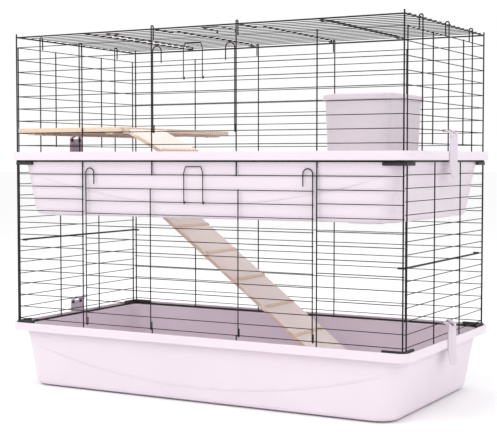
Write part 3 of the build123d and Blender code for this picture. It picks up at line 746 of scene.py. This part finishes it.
# ------------------------------------------------------------------ doors
@dataclass
class Door:
    """A wire door: side wires with curls and cane hooks, middle wires, level wires and its latch."""

    panels: WirePanels
    name: str
    lie: Lie = Lie.UPRIGHT
    has_mids: bool = True
    cane_width: float = 0.026
    cane_rise: float = 0.017
    cane_drop: float = 0.026
    curl_tail: float = 0.017
    curl_bend: float = 0.0028
    latch_end: float = 0.004
    latch_bend: float = 0.0014
    latch_over: float = 0.0024
    latch_narrow: float = 0.005
    bend_steps: int = 6
    cane_steps: int = 12

    def _place(self, x: float, off: float, along: float) -> Vector:
        """Turns (x, off the rows, along the door) into a point."""
        return Vector((x, -along, off)) if self.lie is Lie.FLAT else Vector((x, -off, along))

    def _axes(self, low: Vector, high: Vector) -> tuple[float, float, float, float]:
        """Reads a box's extent off the rows and along the door.

        Args:
            low: The box's lowest corner.
            high: The box's highest corner.

        Returns:
            (off low, off high, along low, along high).
        """
        if self.lie is Lie.FLAT:
            return low.z, high.z, -high.y, -low.y
        return -high.y, -low.y, low.z, high.z

    def side(self, low: Vector, high: Vector) -> Wire:
        """Makes a side wire from its solid's box.

        Args:
            low: The lowest corner.
            high: The highest corner.

        Returns:
            The bent wire.
        """
        off0, off1, along0, along1 = self._axes(low, high)
        radius = (high.x - low.x - self.cane_width) / 2
        inward = -1 if low.x + high.x > 0 else 1
        x = (high.x - radius) if inward < 0 else (low.x + radius)
        inner, outer, foot, top = off0 + radius, off1 - radius, along0 + radius, along1 - radius
        path = [self._place(x, inner, foot + self.curl_bend + self.curl_tail), self._place(x, inner, foot),
                self._place(x, outer, foot), self._place(x, outer, top - self.cane_width / 2)]
        points = bend(path, self.curl_bend, self.bend_steps)
        half = self.cane_width / 2
        for i in range(1, self.cane_steps + 1):
            a = math.pi * i / self.cane_steps
            over, up = half * (1 - math.cos(a)), half * math.sin(a)
            points.append(self._place(x + inward * over, outer, top - half + up))
        points.append(self._place(x + inward * self.cane_width, outer, top - self.cane_rise - self.cane_drop))
        return Wire(points, radius)

    def mid(self, low: Vector, high: Vector) -> Wire:
        """Makes a middle wire from its solid's box.

        Args:
            low: The lowest corner.
            high: The highest corner.

        Returns:
            The bent wire.
        """
        off0, off1, along0, along1 = self._axes(low, high)
        radius = (high.x - low.x) / 2
        x = (low.x + high.x) / 2
        inner, outer, foot = off0 + radius, off1 - radius, along0 + radius
        path = [self._place(x, inner, foot + self.curl_bend + self.curl_tail), self._place(x, inner, foot),
                self._place(x, outer, foot), self._place(x, outer, along1)]
        return Wire(bend(path, self.curl_bend, self.bend_steps), radius)

    def latch(self, low: Vector, high: Vector, radius: float = 0.0012, rise: float = 0.0196) -> Wire:
        """Makes the latch from its solid's box.

        Args:
            low: The lowest corner.
            high: The highest corner.
            radius: The wire's radius.
            rise: The handle's height above the legs' tops.

        Returns:
            The bent wire.
        """
        off0, off1, along0, along1 = self._axes(low, high)
        half = high.x - radius
        inner, outer, foot, top = off0 + radius, off1 - radius, along0 + radius, along1 - radius
        over = top - rise + self.latch_over
        leg = [(half, inner, foot + self.latch_end * 1.6), (half, inner, foot), (half, outer, foot),
               (half, outer, over), (half, outer, over + 0.001), (half - self.latch_narrow, outer, top)]
        path = [self._place(-x, off, along) for x, off, along in leg]
        path += [self._place(x, off, along) for x, off, along in reversed(leg)]
        return Wire(bend(path, self.latch_bend, 4), radius)

    def build(self, roof_z: float) -> None:
        """Builds the door and its latch.

        Args:
            roof_z: The height of the roof edge wire.
        """
        door, latch = f"{self.name}_door", f"{self.name}_latch"
        bent = [self.side(*box) for box in islands(f"{door}_sides")]
        nodes = [f"{door}_sides"]
        if self.has_mids:
            bent += [self.mid(*box) for box in islands(f"{door}_mids")]
            nodes.append(f"{door}_mids")
        piece = self.panels.build(f"{self.name}_door_wires", door, [f"{door}_rows"], roof_z, bent)
        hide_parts(*nodes)
        low, high = islands(f"{door}_latch")[0]
        catch = self.panels.tree.make(f"{self.name}_latch_wire", [self.latch(low, high)], [])
        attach(catch, latch)
        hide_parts(f"{door}_latch")
        log.info("%s latch", self.name)


@dataclass
class TieRods:
    """The two thick rods across the lower ends."""

    panels: WirePanels
    bend_radius: float = 0.006

    def build(self) -> None:
        """Builds both rods from their boxes."""
        for name in ("tie_rod_left", "tie_rod_right"):
            low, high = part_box(name)
            radius = (high.z - low.z) / 2
            side = 1 if low.x > 0 else -1
            out_x = high.x - radius if side > 0 else low.x + radius
            in_x = low.x + radius / 2 if side > 0 else high.x - radius / 2
            z = (low.z + high.z) / 2
            y0, y1 = low.y + radius, high.y - radius
            path = [Vector((x, y, z)) for x, y in ((in_x, y0), (out_x, y0), (out_x, y1), (in_x, y1))]
            wire = Wire(bend(path, self.bend_radius, 6), radius)
            rod = self.panels.tree.make(f"{name}_bar", [wire], [], Sides=16)
            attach(rod, "cage")
            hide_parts(name)
            log.info("%s", name)


# ------------------------------------------------------------------ trays
@dataclass
class Tray:
    """A deep tray: sloping walls, a floor with a fillet, a ledge, a skirted rim and a collar."""

    node: str
    lip: float = 0.006
    skirt: float = 0.022
    ledge_drop: float = 0.009
    wall: float = 0.003
    inset: float = 0.018
    rim_corner: float = 0.026
    body_corner: float = 0.05
    end_draft: float = 0.03
    side_draft: float = 0.008
    foot_height: float = 0.004
    bottom_round: float = 0.014
    floor_round: float = 0.012
    collar: float = 0.0016
    collar_height: float = 0.016
    foot: Point = (0.09, 0.026, 0.008)
    foot_inset: float = 0.046
    crease_radius: float = 0.002
    crease_z: float = 0.041
    crease_curve: float = 0.273
    crease_end: float = 0.515
    crease_spans: int = 60
    crease_stand: float = 0.7
    rib: Flat = (0.013, 0.017)
    rib_round: float = 0.0005
    rib_crown: float = 0.0003
    foot_ease: float = 0.001
    cap_inset: float = 0.03
    edge_round: float = 0.0015
    sharp_round: float = 0.001
    skirt_round: float = 0.0012
    lip_round: float = 0.0022
    ledge_round: float = 0.002
    wall_round: float = 0.004
    hatch: Optional[tuple[Flat, Flat, float]] = None

    def __post_init__(self) -> None:
        """Reads the tray's box."""
        self.low, self.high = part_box(self.node)
        self.half = (self.high.x, self.high.y)
        self.bottom = self.low.z + self.foot_height
        self.ledge = self.high.z - self.ledge_drop

    def _wall_inset(self, z: float, thick: float) -> tuple[float, float, float, float]:
        """Reads the sloping wall at a height.

        Args:
            z: The height.
            thick: How far inside the outer face.

        Returns:
            (inset along X, inset along Y, height, corner radius).
        """
        share = (self.ledge - z) / (self.ledge - self.bottom)
        return (self.inset + thick + self.end_draft * share, self.inset + thick + self.side_draft * share, z,
                self.body_corner - thick)

    def profile(self) -> list[tuple[float, ...]]:
        """The tray's section from the middle of its underside round to the middle of its floor.

        Returns:
            Vertices of (inset along X, inset along Y, height, corner radius).
        """
        top, skirt_z = self.high.z, self.high.z - self.skirt
        under = self.ledge - self.wall
        floor = self.bottom + self.wall
        collar_z = skirt_z - self.collar_height
        base = self._wall_inset(self.bottom, 0.0)
        inner_base = self._wall_inset(floor, self.wall)
        cap, cap_corner = self.cap_inset, self.body_corner - self.cap_inset
        wall, lip, corner = self.wall, self.lip, self.rim_corner
        points = [
            ((base[0] + cap, base[1] + cap, self.bottom, cap_corner), 0),
            (base, self.bottom_round),
            (self._wall_inset(collar_z, 0.0), self.edge_round),
            (self._wall_inset(collar_z, -self.collar), self.edge_round),
            (self._wall_inset(under, -self.collar), self.sharp_round),
            ((wall, wall, under, corner - wall), self.edge_round),
            ((wall, wall, skirt_z, corner - wall), self.sharp_round),
            ((0.0, 0.0, skirt_z, corner), self.skirt_round),
            ((0.0, 0.0, top, corner), self.lip_round),
            ((lip, lip, top, corner - lip), self.lip_round),
            ((lip, lip, self.ledge, corner - lip), self.ledge_round),
            (self._wall_inset(self.ledge, wall), self.wall_round),
            (inner_base, self.floor_round),
            ((inner_base[0] + cap, inner_base[1] + cap, floor, cap_corner), 0),
        ]
        return eased([p for p, _ in points], [r for _, r in points], 4)

    def _loops(self) -> list[list[Vector]]:
        """The loops of the whole section."""
        return [rounded_loop((self.half[0] - ix, self.half[1] - iy), [corner] * 4, z)
                for ix, iy, z, corner in self.profile()]

    def _feet(self, bm: Mesh) -> None:
        """Adds four flat feet with eased edges under the floor.

        Args:
            bm: The mesh.
        """
        length, width, corner = self.foot
        base = self._wall_inset(self.bottom, 0.0)
        fx = self.half[0] - base[0] - self.foot_inset - length / 2
        fy = self.half[1] - base[1] - self.foot_inset - width / 2
        ease = self.foot_ease
        rings = [(4 * ease, 0.0), (ease, 0.0), (0.0, ease), (0.0, self.foot_height + ease)]
        for sx, sy in product((-1, 1), repeat=2):
            loops = [rounded_loop((length / 2 - i, width / 2 - i), [corner - i] * 4, self.low.z + z,
                                  (sx * fx, sy * fy), 4) for i, z in rings]
            skin(bm, loops, (True, True))

    def _rib(self, bm: Mesh) -> None:
        """Adds the rib under the rim that rests on the storey below.

        Args:
            bm: The mesh.
        """
        z0, z1 = self.high.z - self.skirt, self.ledge - self.wall
        out, inn = self.rib
        crown = z0 - self.rib_crown
        rings = [(out, z1), (out, z0), (out + self.rib_round, crown), (inn - self.rib_round, crown),
                 (inn, z0), (inn, z1)]
        loops = [rounded_loop((self.half[0] - i, self.half[1] - i), [self.rim_corner] * 4, z)
                 for i, z in rings]
        skin(bm, loops, (False, False), wrap=True)

    def _crease(self, bm: Mesh) -> None:
        """Adds the moulded bead that curves across the front and the back.

        Args:
            bm: The mesh.
        """
        last = self.crease_spans
        for side in (-1, 1):
            spine = []
            for i in range(last + 1):
                x = self.crease_end * (2 * i / last - 1)
                z = self.low.z + self.crease_z + self.crease_curve * x * x
                y = self.half[1] - self._wall_inset(z, 0.0)[1]
                spine.append(Vector((x, side * y, z)))
            loops = []
            for i, spot in enumerate(spine):
                run = (spine[min(i + 1, last)] - spine[max(i - 1, 0)]).normalized()
                outward = Vector((0.0, side, 0.0))
                across = run.cross(outward).normalized()
                size = self.crease_radius * min(1.0, 0.15 + min(i, last - i) / 4)
                stand = outward * self.crease_stand
                loops.append([spot + (stand * math.cos(a) + across * math.sin(a)) * size
                              for a in (k * math.pi / 4 for k in range(8))])
            skin(bm, loops, (True, True))

    def build(self, finish: Material) -> None:
        """Builds the tray.

        Args:
            finish: Its plastic.
        """
        bm = bmesh.new()
        loops = self._loops()
        if self.hatch:
            centre, half, corner = self.hatch
            heights = (self.bottom + self.wall, self.bottom)
            edge = [rounded_loop(half, [corner] * 4, z, centre) for z in heights]
            skin(bm, loops + edge, (False, False), wrap=True)
        else:
            skin(bm, loops, (True, True))
        self._feet(bm)
        self._rib(bm)
        self._crease(bm)
        piece = soften(to_object(f"{self.node}_shell", bm, finish))
        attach(piece, "cage")
        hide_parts(self.node)
        log.info("%s", piece.name)


# ------------------------------------------------------------------ clips and corner blocks
@dataclass
class Clip:
    """A plastic clip: two hooked fingers round an end row, a curved plate and a tooth."""

    node: str
    thickness: float = 0.003
    finger: float = 0.013
    finger_y: float = 0.018
    wire_radius: float = 0.0011
    wrap: float = 0.0042
    plate_drop: float = 0.011
    finger_rise: float = 0.006
    finger_root: float = 0.008
    finger_crotch: float = 0.002
    tail_round: float = 0.012
    flare: float = 0.006
    straight: float = 0.0365
    crown: float = 0.0012
    hole_gap: float = 0.0003
    tooth_drop: float = 0.0245
    tooth_height: float = 0.0073
    tooth_reach: float = 0.0045
    tooth_sunk: float = 0.0004
    tooth_inset: float = 0.002

    def _plate(self, bm: Mesh, side: int, plate_top: float, rim_top: float) -> None:
        """Adds the plate with its flared tail and rounded corners.

        Args:
            bm: The mesh.
            side: -1 at the left end, 1 at the right.
            plate_top: The plate's upper edge.
            rim_top: The rim's top.
        """
        low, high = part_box(self.node)
        flare, curl = self.flare, self.tail_round
        face = max(abs(low.x), abs(high.x)) - flare
        half = (high.y - low.y) / 2
        spine = [(plate_top, 0.0), (rim_top - self.straight, 0.0), (low.z + curl / 2, flare * 0.85),
                 (low.z, flare)]
        shares = [k / 6 - 1 for k in range(13)]
        loops = []
        for z, out in eased(spine, [0.0, curl, curl / 2, 0.0], 4):
            near = z - low.z
            narrow = curl - math.sqrt(max(curl ** 2 - (curl - near) ** 2, 0.0)) if near < curl else 0.0
            w = half - narrow
            outside = [Vector((side * (face + out - self.crown * t * t), t * w, z)) for t in shares]
            inside = [Vector((side * (face + out - self.thickness), t * w, z)) for t in reversed(shares)]
            loops.append(outside + inside)
        skin(bm, loops, (True, True))

    def _finger(self, bm: Mesh, side: int, y: float, row: Flat, face: float) -> None:
        """Adds one finger that hooks round the row.

        Args:
            bm: The mesh.
            side: -1 at the left end, 1 at the right.
            y: The finger's middle.
            row: The row's (x, z), x as a distance.
            face: The plate's outer face.
        """
        row_x, row_z = row
        hole = self.wire_radius + self.hole_gap
        span = (y - self.finger / 2, y + self.finger / 2)
        arc = [math.radians(a) for a in range(-60, 241, 20)]
        ring_out = [(row_x + self.wrap * math.cos(a), row_z + self.wrap * math.sin(a)) for a in arc]
        ring_in = [(row_x + hole * math.cos(a), row_z + hole * math.sin(a)) for a in reversed(arc)]
        slab(bm, ring_out + ring_in, span, at_end(side))
        plate_top = row_z - self.plate_drop
        back, root = face - self.thickness, plate_top - self.finger_root
        arm = [(row_x + self.wrap * 0.6, row_z + self.wrap * 0.75), (face, plate_top + self.finger_rise),
               (face, root), (back, root), (back, plate_top + self.finger_crotch),
               (row_x + self.wrap * 0.8, row_z - self.wrap * 0.55)]
        slab(bm, arm, span, at_end(side))

    def build(self, rim_top: float, row: Flat, body: str, finish: Material) -> None:
        """Builds the clip.

        Args:
            rim_top: The rim's top.
            row: The row's (x, z), x as a distance.
            body: The body it rides on.
            finish: Its plastic.
        """
        low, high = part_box(self.node)
        side = 1 if low.x > 0 else -1
        face = max(abs(low.x), abs(high.x)) - self.flare
        bm = bmesh.new()
        self._plate(bm, side, row[1] - self.plate_drop, rim_top)
        back, tooth_top = face - self.thickness, rim_top - self.tooth_drop
        tooth = [(back + self.tooth_sunk, tooth_top), (back - self.tooth_reach, tooth_top),
                 (back + self.tooth_sunk, tooth_top - self.tooth_height)]
        slab(bm, tooth, (low.y + self.tooth_inset, high.y - self.tooth_inset), at_end(side))
        for y in (-self.finger_y, self.finger_y):
            self._finger(bm, side, y, row, face)
        piece = soften(to_object(f"{self.node}_piece", bm, finish), 0.0005)
        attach(piece, body)
        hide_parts(self.node)
        log.info("%s", piece.name)


@dataclass
class CornerBlocks:
    """Four black angled blocks that brace the corners of a frame."""

    node: str
    width: float = 0.007
    leg: float = 0.06
    cut: float = 0.006

    def build(self, finish: Material) -> None:
        """Builds the four blocks in their CAD box.

        Args:
            finish: Their plastic.
        """
        low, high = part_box(self.node)
        bm = bmesh.new()
        x, y, w, g, c = high.x, high.y, self.width, self.leg, self.cut
        outline = [(x, y - c), (x - c, y), (x - g, y), (x - g, y - w), (x - w - c / 2, y - w),
                   (x - w, y - w - c / 2), (x - w, y - g), (x, y - g)]
        for sx, sy in product((-1, 1), repeat=2):
            slab(bm, outline, (low.z, high.z), lambda u, v, z, sx=sx, sy=sy: Vector((sx * u, sy * v, z)))
        piece = soften(to_object(f"{self.node}_set", bm, finish), 0.001)
        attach(piece, "cage")
        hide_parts(self.node)
        log.info("%s", piece.name)


# ------------------------------------------------------------------ wood
@dataclass
class Board:
    """A sanded board with eased edges: pale flat faces, and a darker wood on every upright edge as painted
    shade.
    """

    name: str
    corner: float = 0.004
    ease: float = 0.0012
    ease_shoulder: float = 0.3
    corner_steps: int = 4
    shade_split_normal: float = 0.9
    notch: Optional[Flat] = None

    def _loop(self, half: Flat, inset: float, z: float) -> list[Vector]:
        """Draws the board's outline, with the notch in its left end.

        Args:
            half: Half its length and width.
            inset: How far it is drawn in.
            z: Its height.

        Returns:
            The points.
        """
        steps = self.corner_steps
        points = rounded_loop((half[0] - inset, half[1] - inset), [self.corner] * 4, z, steps=steps)
        if self.notch:
            depth, side = self.notch
            x0, x1, y = inset - half[0], inset - half[0] + depth, side + inset
            left_end = 2 * (steps + 1)
            points[left_end:left_end] = [Vector((x, w, z)) for x, w in ((x0, y), (x1, y), (x1, -y), (x0, -y))]
        return points

    def build(self, half: Flat, thickness: float, place: Matrix, face: Material,
              edge: Material) -> Object:
        """Builds a board whose middle is at the matrix's origin.

        Args:
            half: Half its length and width.
            thickness: Its thickness.
            place: Where it lies.
            face: The wood of its two faces.
            edge: The darker wood of its edges, painted shade.

        Returns:
            The piece, before it rides.
        """
        t, ease, shoulder = thickness / 2, self.ease, self.ease * self.ease_shoulder
        rings = [(ease, -t), (shoulder, -t + shoulder), (0.0, -t + ease), (0.0, t - ease),
                 (shoulder, t - shoulder), (ease, t)]
        bm = bmesh.new()
        skin(bm, [self._loop(half, i, z) for i, z in rings], (True, True))
        bm.normal_update()
        # Faces that look up or down get the pale wood; every other face gets the darker wood, painted shade.
        for f in bm.faces:
            f.material_index = 0 if abs(f.normal.z) > self.shade_split_normal else 1
        bm.transform(place)
        return soften(to_object(self.name, bm, face, edge))


@dataclass
class Ramp:
    """A ramp board on a rod between two cheeks, with thin cleats across it."""

    name: str
    slope: float
    board: float = 0.01
    width: float = 0.176
    corner: float = 0.002
    cleat_width: float = 0.009
    cleat_corner: float = 0.001
    cleat_rings: tuple[Flat, ...] = ((0.0005, -0.0021), (0.0, -0.0016), (0.0, 0.0010), (0.0008, 0.0020))

    def _frame(self) -> tuple[Matrix, float]:
        """Finds where the board lies.

        Returns:
            The matrix of its middle, and its length.
        """
        rod_low, rod_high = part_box(f"{self.name}_rod")
        low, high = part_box(self.name)
        pivot = (rod_low + rod_high) / 2
        slope = math.radians(self.slope)
        end = high.x - self.board / 2 * math.sin(slope)
        length = (end - pivot.x) / math.cos(slope)
        run = Vector((math.cos(slope), 0, -math.sin(slope)))
        middle = Vector((pivot.x, (low.y + high.y) / 2, pivot.z)) + run * (length / 2)
        return Matrix.Translation(middle) @ Matrix.Rotation(slope, 4, "Y"), length

    def build(self, face: Material, edge: Material, steel: Material) -> None:
        """Builds the board and cleats, and finishes its rod and cheeks.

        Args:
            face: The wood of the board's faces.
            edge: The darker wood of the edges, where it is painted shade, and of the cleats.
            steel: The rod's finish.
        """
        frame, length = self._frame()
        nose = self.board / 2
        place = frame @ Matrix.Translation((-nose / 2, 0, 0))
        half = ((length + nose) / 2, self.width / 2)
        board = Board(f"{self.name}_board", self.corner).build(half, self.board, place, face, edge)
        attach(board, self.name)
        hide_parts(self.name)
        boxes = islands(f"{self.name}_cleats")
        bm = bmesh.new()
        for low, high in boxes:
            middle = (low + high) / 2
            spot = Matrix.Translation(middle) @ Matrix.Rotation(math.radians(self.slope), 4, "Y")
            reach = (high.y - low.y) / 2
            flat = [rounded_loop((self.cleat_width / 2 - i, reach - i), [self.cleat_corner] * 4, z, steps=2)
                    for i, z in self.cleat_rings]
            skin(bm, [[spot @ p for p in loop] for loop in flat], (True, True))
        cleats = soften(to_object(f"{self.name}_strips", bm, edge))
        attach(cleats, self.name)
        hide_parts(f"{self.name}_cleats")
        paint(f"{self.name}_rod", steel)
        paint(f"{self.name}_cheeks", edge)
        log.info("%s: %d cleats", self.name, len(boxes))


def paint(node: str, finish: Material) -> None:
    """Gives a CAD node that stays a better material.

    Args:
        node: The node.
        finish: The material.
    """
    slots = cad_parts[node].data.materials
    for i in range(len(slots)):
        slots[i] = finish


# ------------------------------------------------------------------ hide
@dataclass
class Hide:
    """A tapered shell with one large round corner, a lipped lid and an arched doorway."""

    flare: float = 0.013
    overhang: float = 0.006
    wall: float = 0.003
    front_round: float = 0.092
    small_round: float = 0.022
    lid_top: float = 0.003
    small_growth: float = 0.3
    corner_steps: int = 14
    door: Flat = (0.12, 0.19)
    door_spans: int = 16
    tool_past: float = 0.02
    tool_depth: float = 0.03
    lid_dip: float = 0.0012
    lid_edge: float = 0.001

    def _loop(self, z: float, grow: float, foot: tuple[Vector, Vector]) -> list[Vector]:
        """Draws the outline at a height, grown outward from its foot.

        Args:
            z: The height.
            grow: How far it is grown outward.
            foot: The shell's foot, lowest and highest corner.

        Returns:
            The points.
        """
        low, high = foot
        centre = ((low.x + high.x) / 2, (low.y + high.y) / 2)
        half = ((high.x - low.x) / 2 + grow, (high.y - low.y) / 2 + grow)
        small = self.small_round + grow * self.small_growth
        radii = [small, small, self.front_round + grow, small]
        return rounded_loop(half, radii, z, centre, self.corner_steps)

    def build(self, finish: Material) -> None:
        """Builds the shell and the lid.

        Args:
            finish: Their plastic.
        """
        low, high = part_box("hide_body")
        grow = Vector((self.flare, self.flare, 0))
        foot = (low + grow, high - grow)
        z0, z1, wall = low.z, high.z, self.wall
        bm = bmesh.new()
        half_way = (self.flare * 0.5, (z0 + z1) / 2)
        outside = [self._loop(z, g, foot) for g, z in ((0.0, z0), half_way, (self.flare, z1))]
        inside = [self._loop(z, g - wall, foot) for g, z in ((self.flare, z1 - wall), half_way, (0.0, z0))]
        skin(bm, outside, (False, True))
        skin(bm, inside, (True, False))
        skin(bm, [inside[-1], outside[0]], (False, False))
        shell = to_object("hide_shell", bm, finish)
        self._cut_door(shell, low, high)
        soften(shell, 0.0006)
        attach(shell, "hide")
        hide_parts("hide_body")
        self._lid(foot, finish)
        log.info("hide")

    def _cut_door(self, shell: Object, low: Vector, high: Vector) -> None:
        """Cuts the arched doorway through the left face.

        Args:
            shell: The shell.
            low: The CAD body's lowest corner.
            high: The CAD body's highest corner.
        """
        width, height = self.door
        foot_low, foot_high = low.y + self.flare, high.y - self.flare
        middle = (foot_low + self.front_round + foot_high) / 2
        bm = bmesh.new()
        radius, below = width / 2, low.z - self.tool_past
        arch = [(middle + radius, below)]
        arch += [(middle + radius * math.cos(a), low.z + height - radius + radius * math.sin(a))
                 for a in (k * math.pi / self.door_spans for k in range(self.door_spans + 1))]
        arch.append((middle - radius, below))
        slab(bm, arch, (low.x - self.tool_past, low.x + self.tool_depth), lambda u, v, w: Vector((w, u, v)))
        tool = to_object("door_tool", bm)
        cut = shell.modifiers.new("door", "BOOLEAN")
        cut.operation = "DIFFERENCE"
        cut.solver = "EXACT"
        cut.object = tool
        settle(shell)
        bpy.data.objects.remove(tool)

    def _lid(self, foot: tuple[Vector, Vector], finish: Material) -> None:
        """Builds the lid: a low crown, a rolled edge and a deep lip.

        Args:
            foot: The shell's foot, lowest and highest corner.
            finish: Its plastic.
        """
        low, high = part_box("hide_lid")
        edge, top, dip = self.lid_edge, high.z, high.z - self.lid_dip
        out, inn = self.flare + self.overhang, self.flare + edge
        profile = [(inn, top - self.lid_top), (inn, low.z), (out - edge, low.z), (out, low.z + edge),
                   (out, top), (out - 0.012, top), (out - 0.015, dip), (out - 0.07, dip)]
        rows = eased(profile, [0.0, 0.0008, 0.0008, 0.0004, 0.0045, 0.001, 0.001, 0.0], 4)
        bm = bmesh.new()
        loops = [self._loop(z, g, foot) for g, z in rows]
        skin(bm, loops, (True, True))
        lid = soften(to_object("hide_top", bm, finish))
        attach(lid, "hide")
        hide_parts("hide_lid")


# ------------------------------------------------------------------ studio
@dataclass(frozen=True)
class SoftLight:
    """A square area light: its name, place, turn in degrees, side and power in watts."""

    name: str
    spot: Point
    turn: Point
    size: float
    power: float

    def add(self) -> None:
        """Adds the light to the scene."""
        data = bpy.data.lights.new(self.name, "AREA")
        data.shape = "SQUARE"
        data.size = self.size
        data.energy = self.power
        light = add_object(self.name, data)
        light.location = self.spot
        light.rotation_euler = [math.radians(v) for v in self.turn]


@dataclass
class Studio:
    """A pale floor, soft lights and the camera."""

    camera: Point = (1.5975, -2.8668, 0.620)
    pitch: float = 2.71
    azimuth: float = 29.12
    lens: float = 87.03
    sensor: float = 36.0
    floor_radius: float = 60.0
    floor_sides: int = 48
    floor_grey: float = 0.96
    lights: tuple[SoftLight, ...] = (
        SoftLight("key", (-1.6, -3.4, 3.4), (62, 0, -26), 3.2, 58.0),
        SoftLight("fill", (3.6, -1.2, 2.0), (68, 0, 70), 2.6, 18.0),
        SoftLight("top", (0.0, 0.2, 3.8), (0, 0, 0), 3.0, 24.0),
    )

    def build(self) -> None:
        """Builds the floor, the lights, the even sky and the camera."""
        self._floor()
        for light in self.lights:
            light.add()
        world = bpy.data.worlds.new("studio_world")
        bpy.context.scene.world = world
        bpy.context.scene.view_settings.view_transform = "Standard"
        world.use_nodes = True
        world.node_tree.nodes["Background"].inputs["Color"].default_value = (1.0, 1.0, 1.0, 1.0)
        world.node_tree.nodes["Background"].inputs["Strength"].default_value = 1.0
        data = bpy.data.cameras.new("camera")
        data.lens = self.lens
        data.sensor_width = self.sensor
        cam = add_object("camera", data)
        cam.location = self.camera
        cam.rotation_euler = (math.radians(90 - self.pitch), 0.0, math.radians(self.azimuth))
        bpy.context.scene.camera = cam

    def _floor(self) -> None:
        """Builds a floor disc wide enough to fill every view."""
        mat = bpy.data.materials.new("studio_floor")
        mat.use_nodes = True
        shader = mat.node_tree.nodes["Principled BSDF"]
        shader.inputs["Base Color"].default_value = (*[self.floor_grey] * 3, 1.0)
        shader.inputs["Roughness"].default_value = 0.9
        bm = bmesh.new()
        turns = (2 * math.pi * k / self.floor_sides for k in range(self.floor_sides))
        radius = self.floor_radius
        bm.faces.new([bm.verts.new((radius * math.cos(a), radius * math.sin(a), 0.0)) for a in turns])
        to_object("studio_floor", bm, mat)


# ------------------------------------------------------------------ the whole cage
def build_wires(tree: WireTree) -> None:
    """Builds every wire of the cage, its doors and its rods.

    Args:
        tree: The node tree that gives the wires their body.
    """
    panels = WirePanels(tree)
    roof_z = sum(v.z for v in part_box("roof_edge_frame")) / 2
    lower = ["lower_bottom_frame", "lower_top_frame", "lower_corner_posts"]
    lower += [f"lower_{side}_{kind}" for side in SIDES for kind in ("uprights", "rows")]
    panels.build("lower_storey_wires", "cage", lower, roof_z)
    upper = ["upper_bottom_frame", "upper_corner_posts"]
    upper += [f"upper_{side}_{kind}" for side in SIDES for kind in ("uprights", "rows")]
    panels.build("upper_storey_wires", "cage", upper, roof_z)
    panels.build("roof_wires", "cage", ["roof_edge_frame", "roof_rows", "roof_cross_wires"], roof_z)
    Door(panels, "upper", has_mids=False).build(roof_z)
    Door(panels, "lower").build(roof_z)
    Door(panels, "roof", Lie.FLAT).build(roof_z)
    TieRods(panels).build()


def build_fittings(plastic: Material, black: Material) -> None:
    """Builds the clips and the corner blocks.

    Args:
        plastic: The clips' plastic.
        black: The corner blocks' plastic.
    """
    for level, tray in (("upper", "middle_tray"), ("lower", "base_tray")):
        rim_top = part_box(tray)[1].z
        for side in ("left", "right"):
            rows = islands(f"{level}_{side}_rows")
            low, high = sorted(rows, key=lambda b: b[0].z)[1]
            row = (abs(low.x + high.x) / 2, (low.z + high.z) / 2)
            name = f"{level}_{side}_clip"
            Clip(name).build(rim_top, row, name, plastic)
    CornerBlocks("lower_corner_blocks").build(black)
    CornerBlocks("middle_corner_blocks").build(black)


def build_wood(steel: Material) -> None:
    """Builds the shelf and both ramps, each with grain along its length.

    Args:
        steel: The finish of rods and screws.
    """
    # The edge wood is darker: on the boards' upright edges it is painted shade.
    face, edge = SHELF_WOOD.material(), SHADED_EDGE_WOOD.material()
    low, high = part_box("shelf")
    half = ((high.x - low.x) / 2, (high.y - low.y) / 2)
    place = Matrix.Translation((low + high) / 2)
    shelf = Board("shelf_board", notch=SHELF_NOTCH).build(half, high.z - low.z, place, face, edge)
    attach(shelf, "cage")
    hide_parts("shelf")
    paint("shelf_battens", edge)
    paint("batten_screws", steel)
    for name, slope in RAMP_SLOPES.items():
        grain = replace(SHELF_WOOD, name=f"{name}_wood", slope=math.radians(slope))
        Ramp(name, slope).build(grain.material(), edge, steel)


def main() -> None:
    """Builds the cage."""
    logging.basicConfig(level=logging.INFO, format="%(message)s")
    coat, plastic, black, steel = COAT.material(), TRAY.material(), BLACK.material(), ZINC.material()
    Studio().build()
    build_wires(WireTree(coat))
    Tray("base_tray").build(plastic)
    Tray("middle_tray", hatch=HATCH).build(plastic)
    build_fittings(CLIP.material(), black)
    build_wood(steel)
    Hide().build(HIDE.material())
    bpy.context.view_layer.update()


if __name__ == "__main__":
    main()
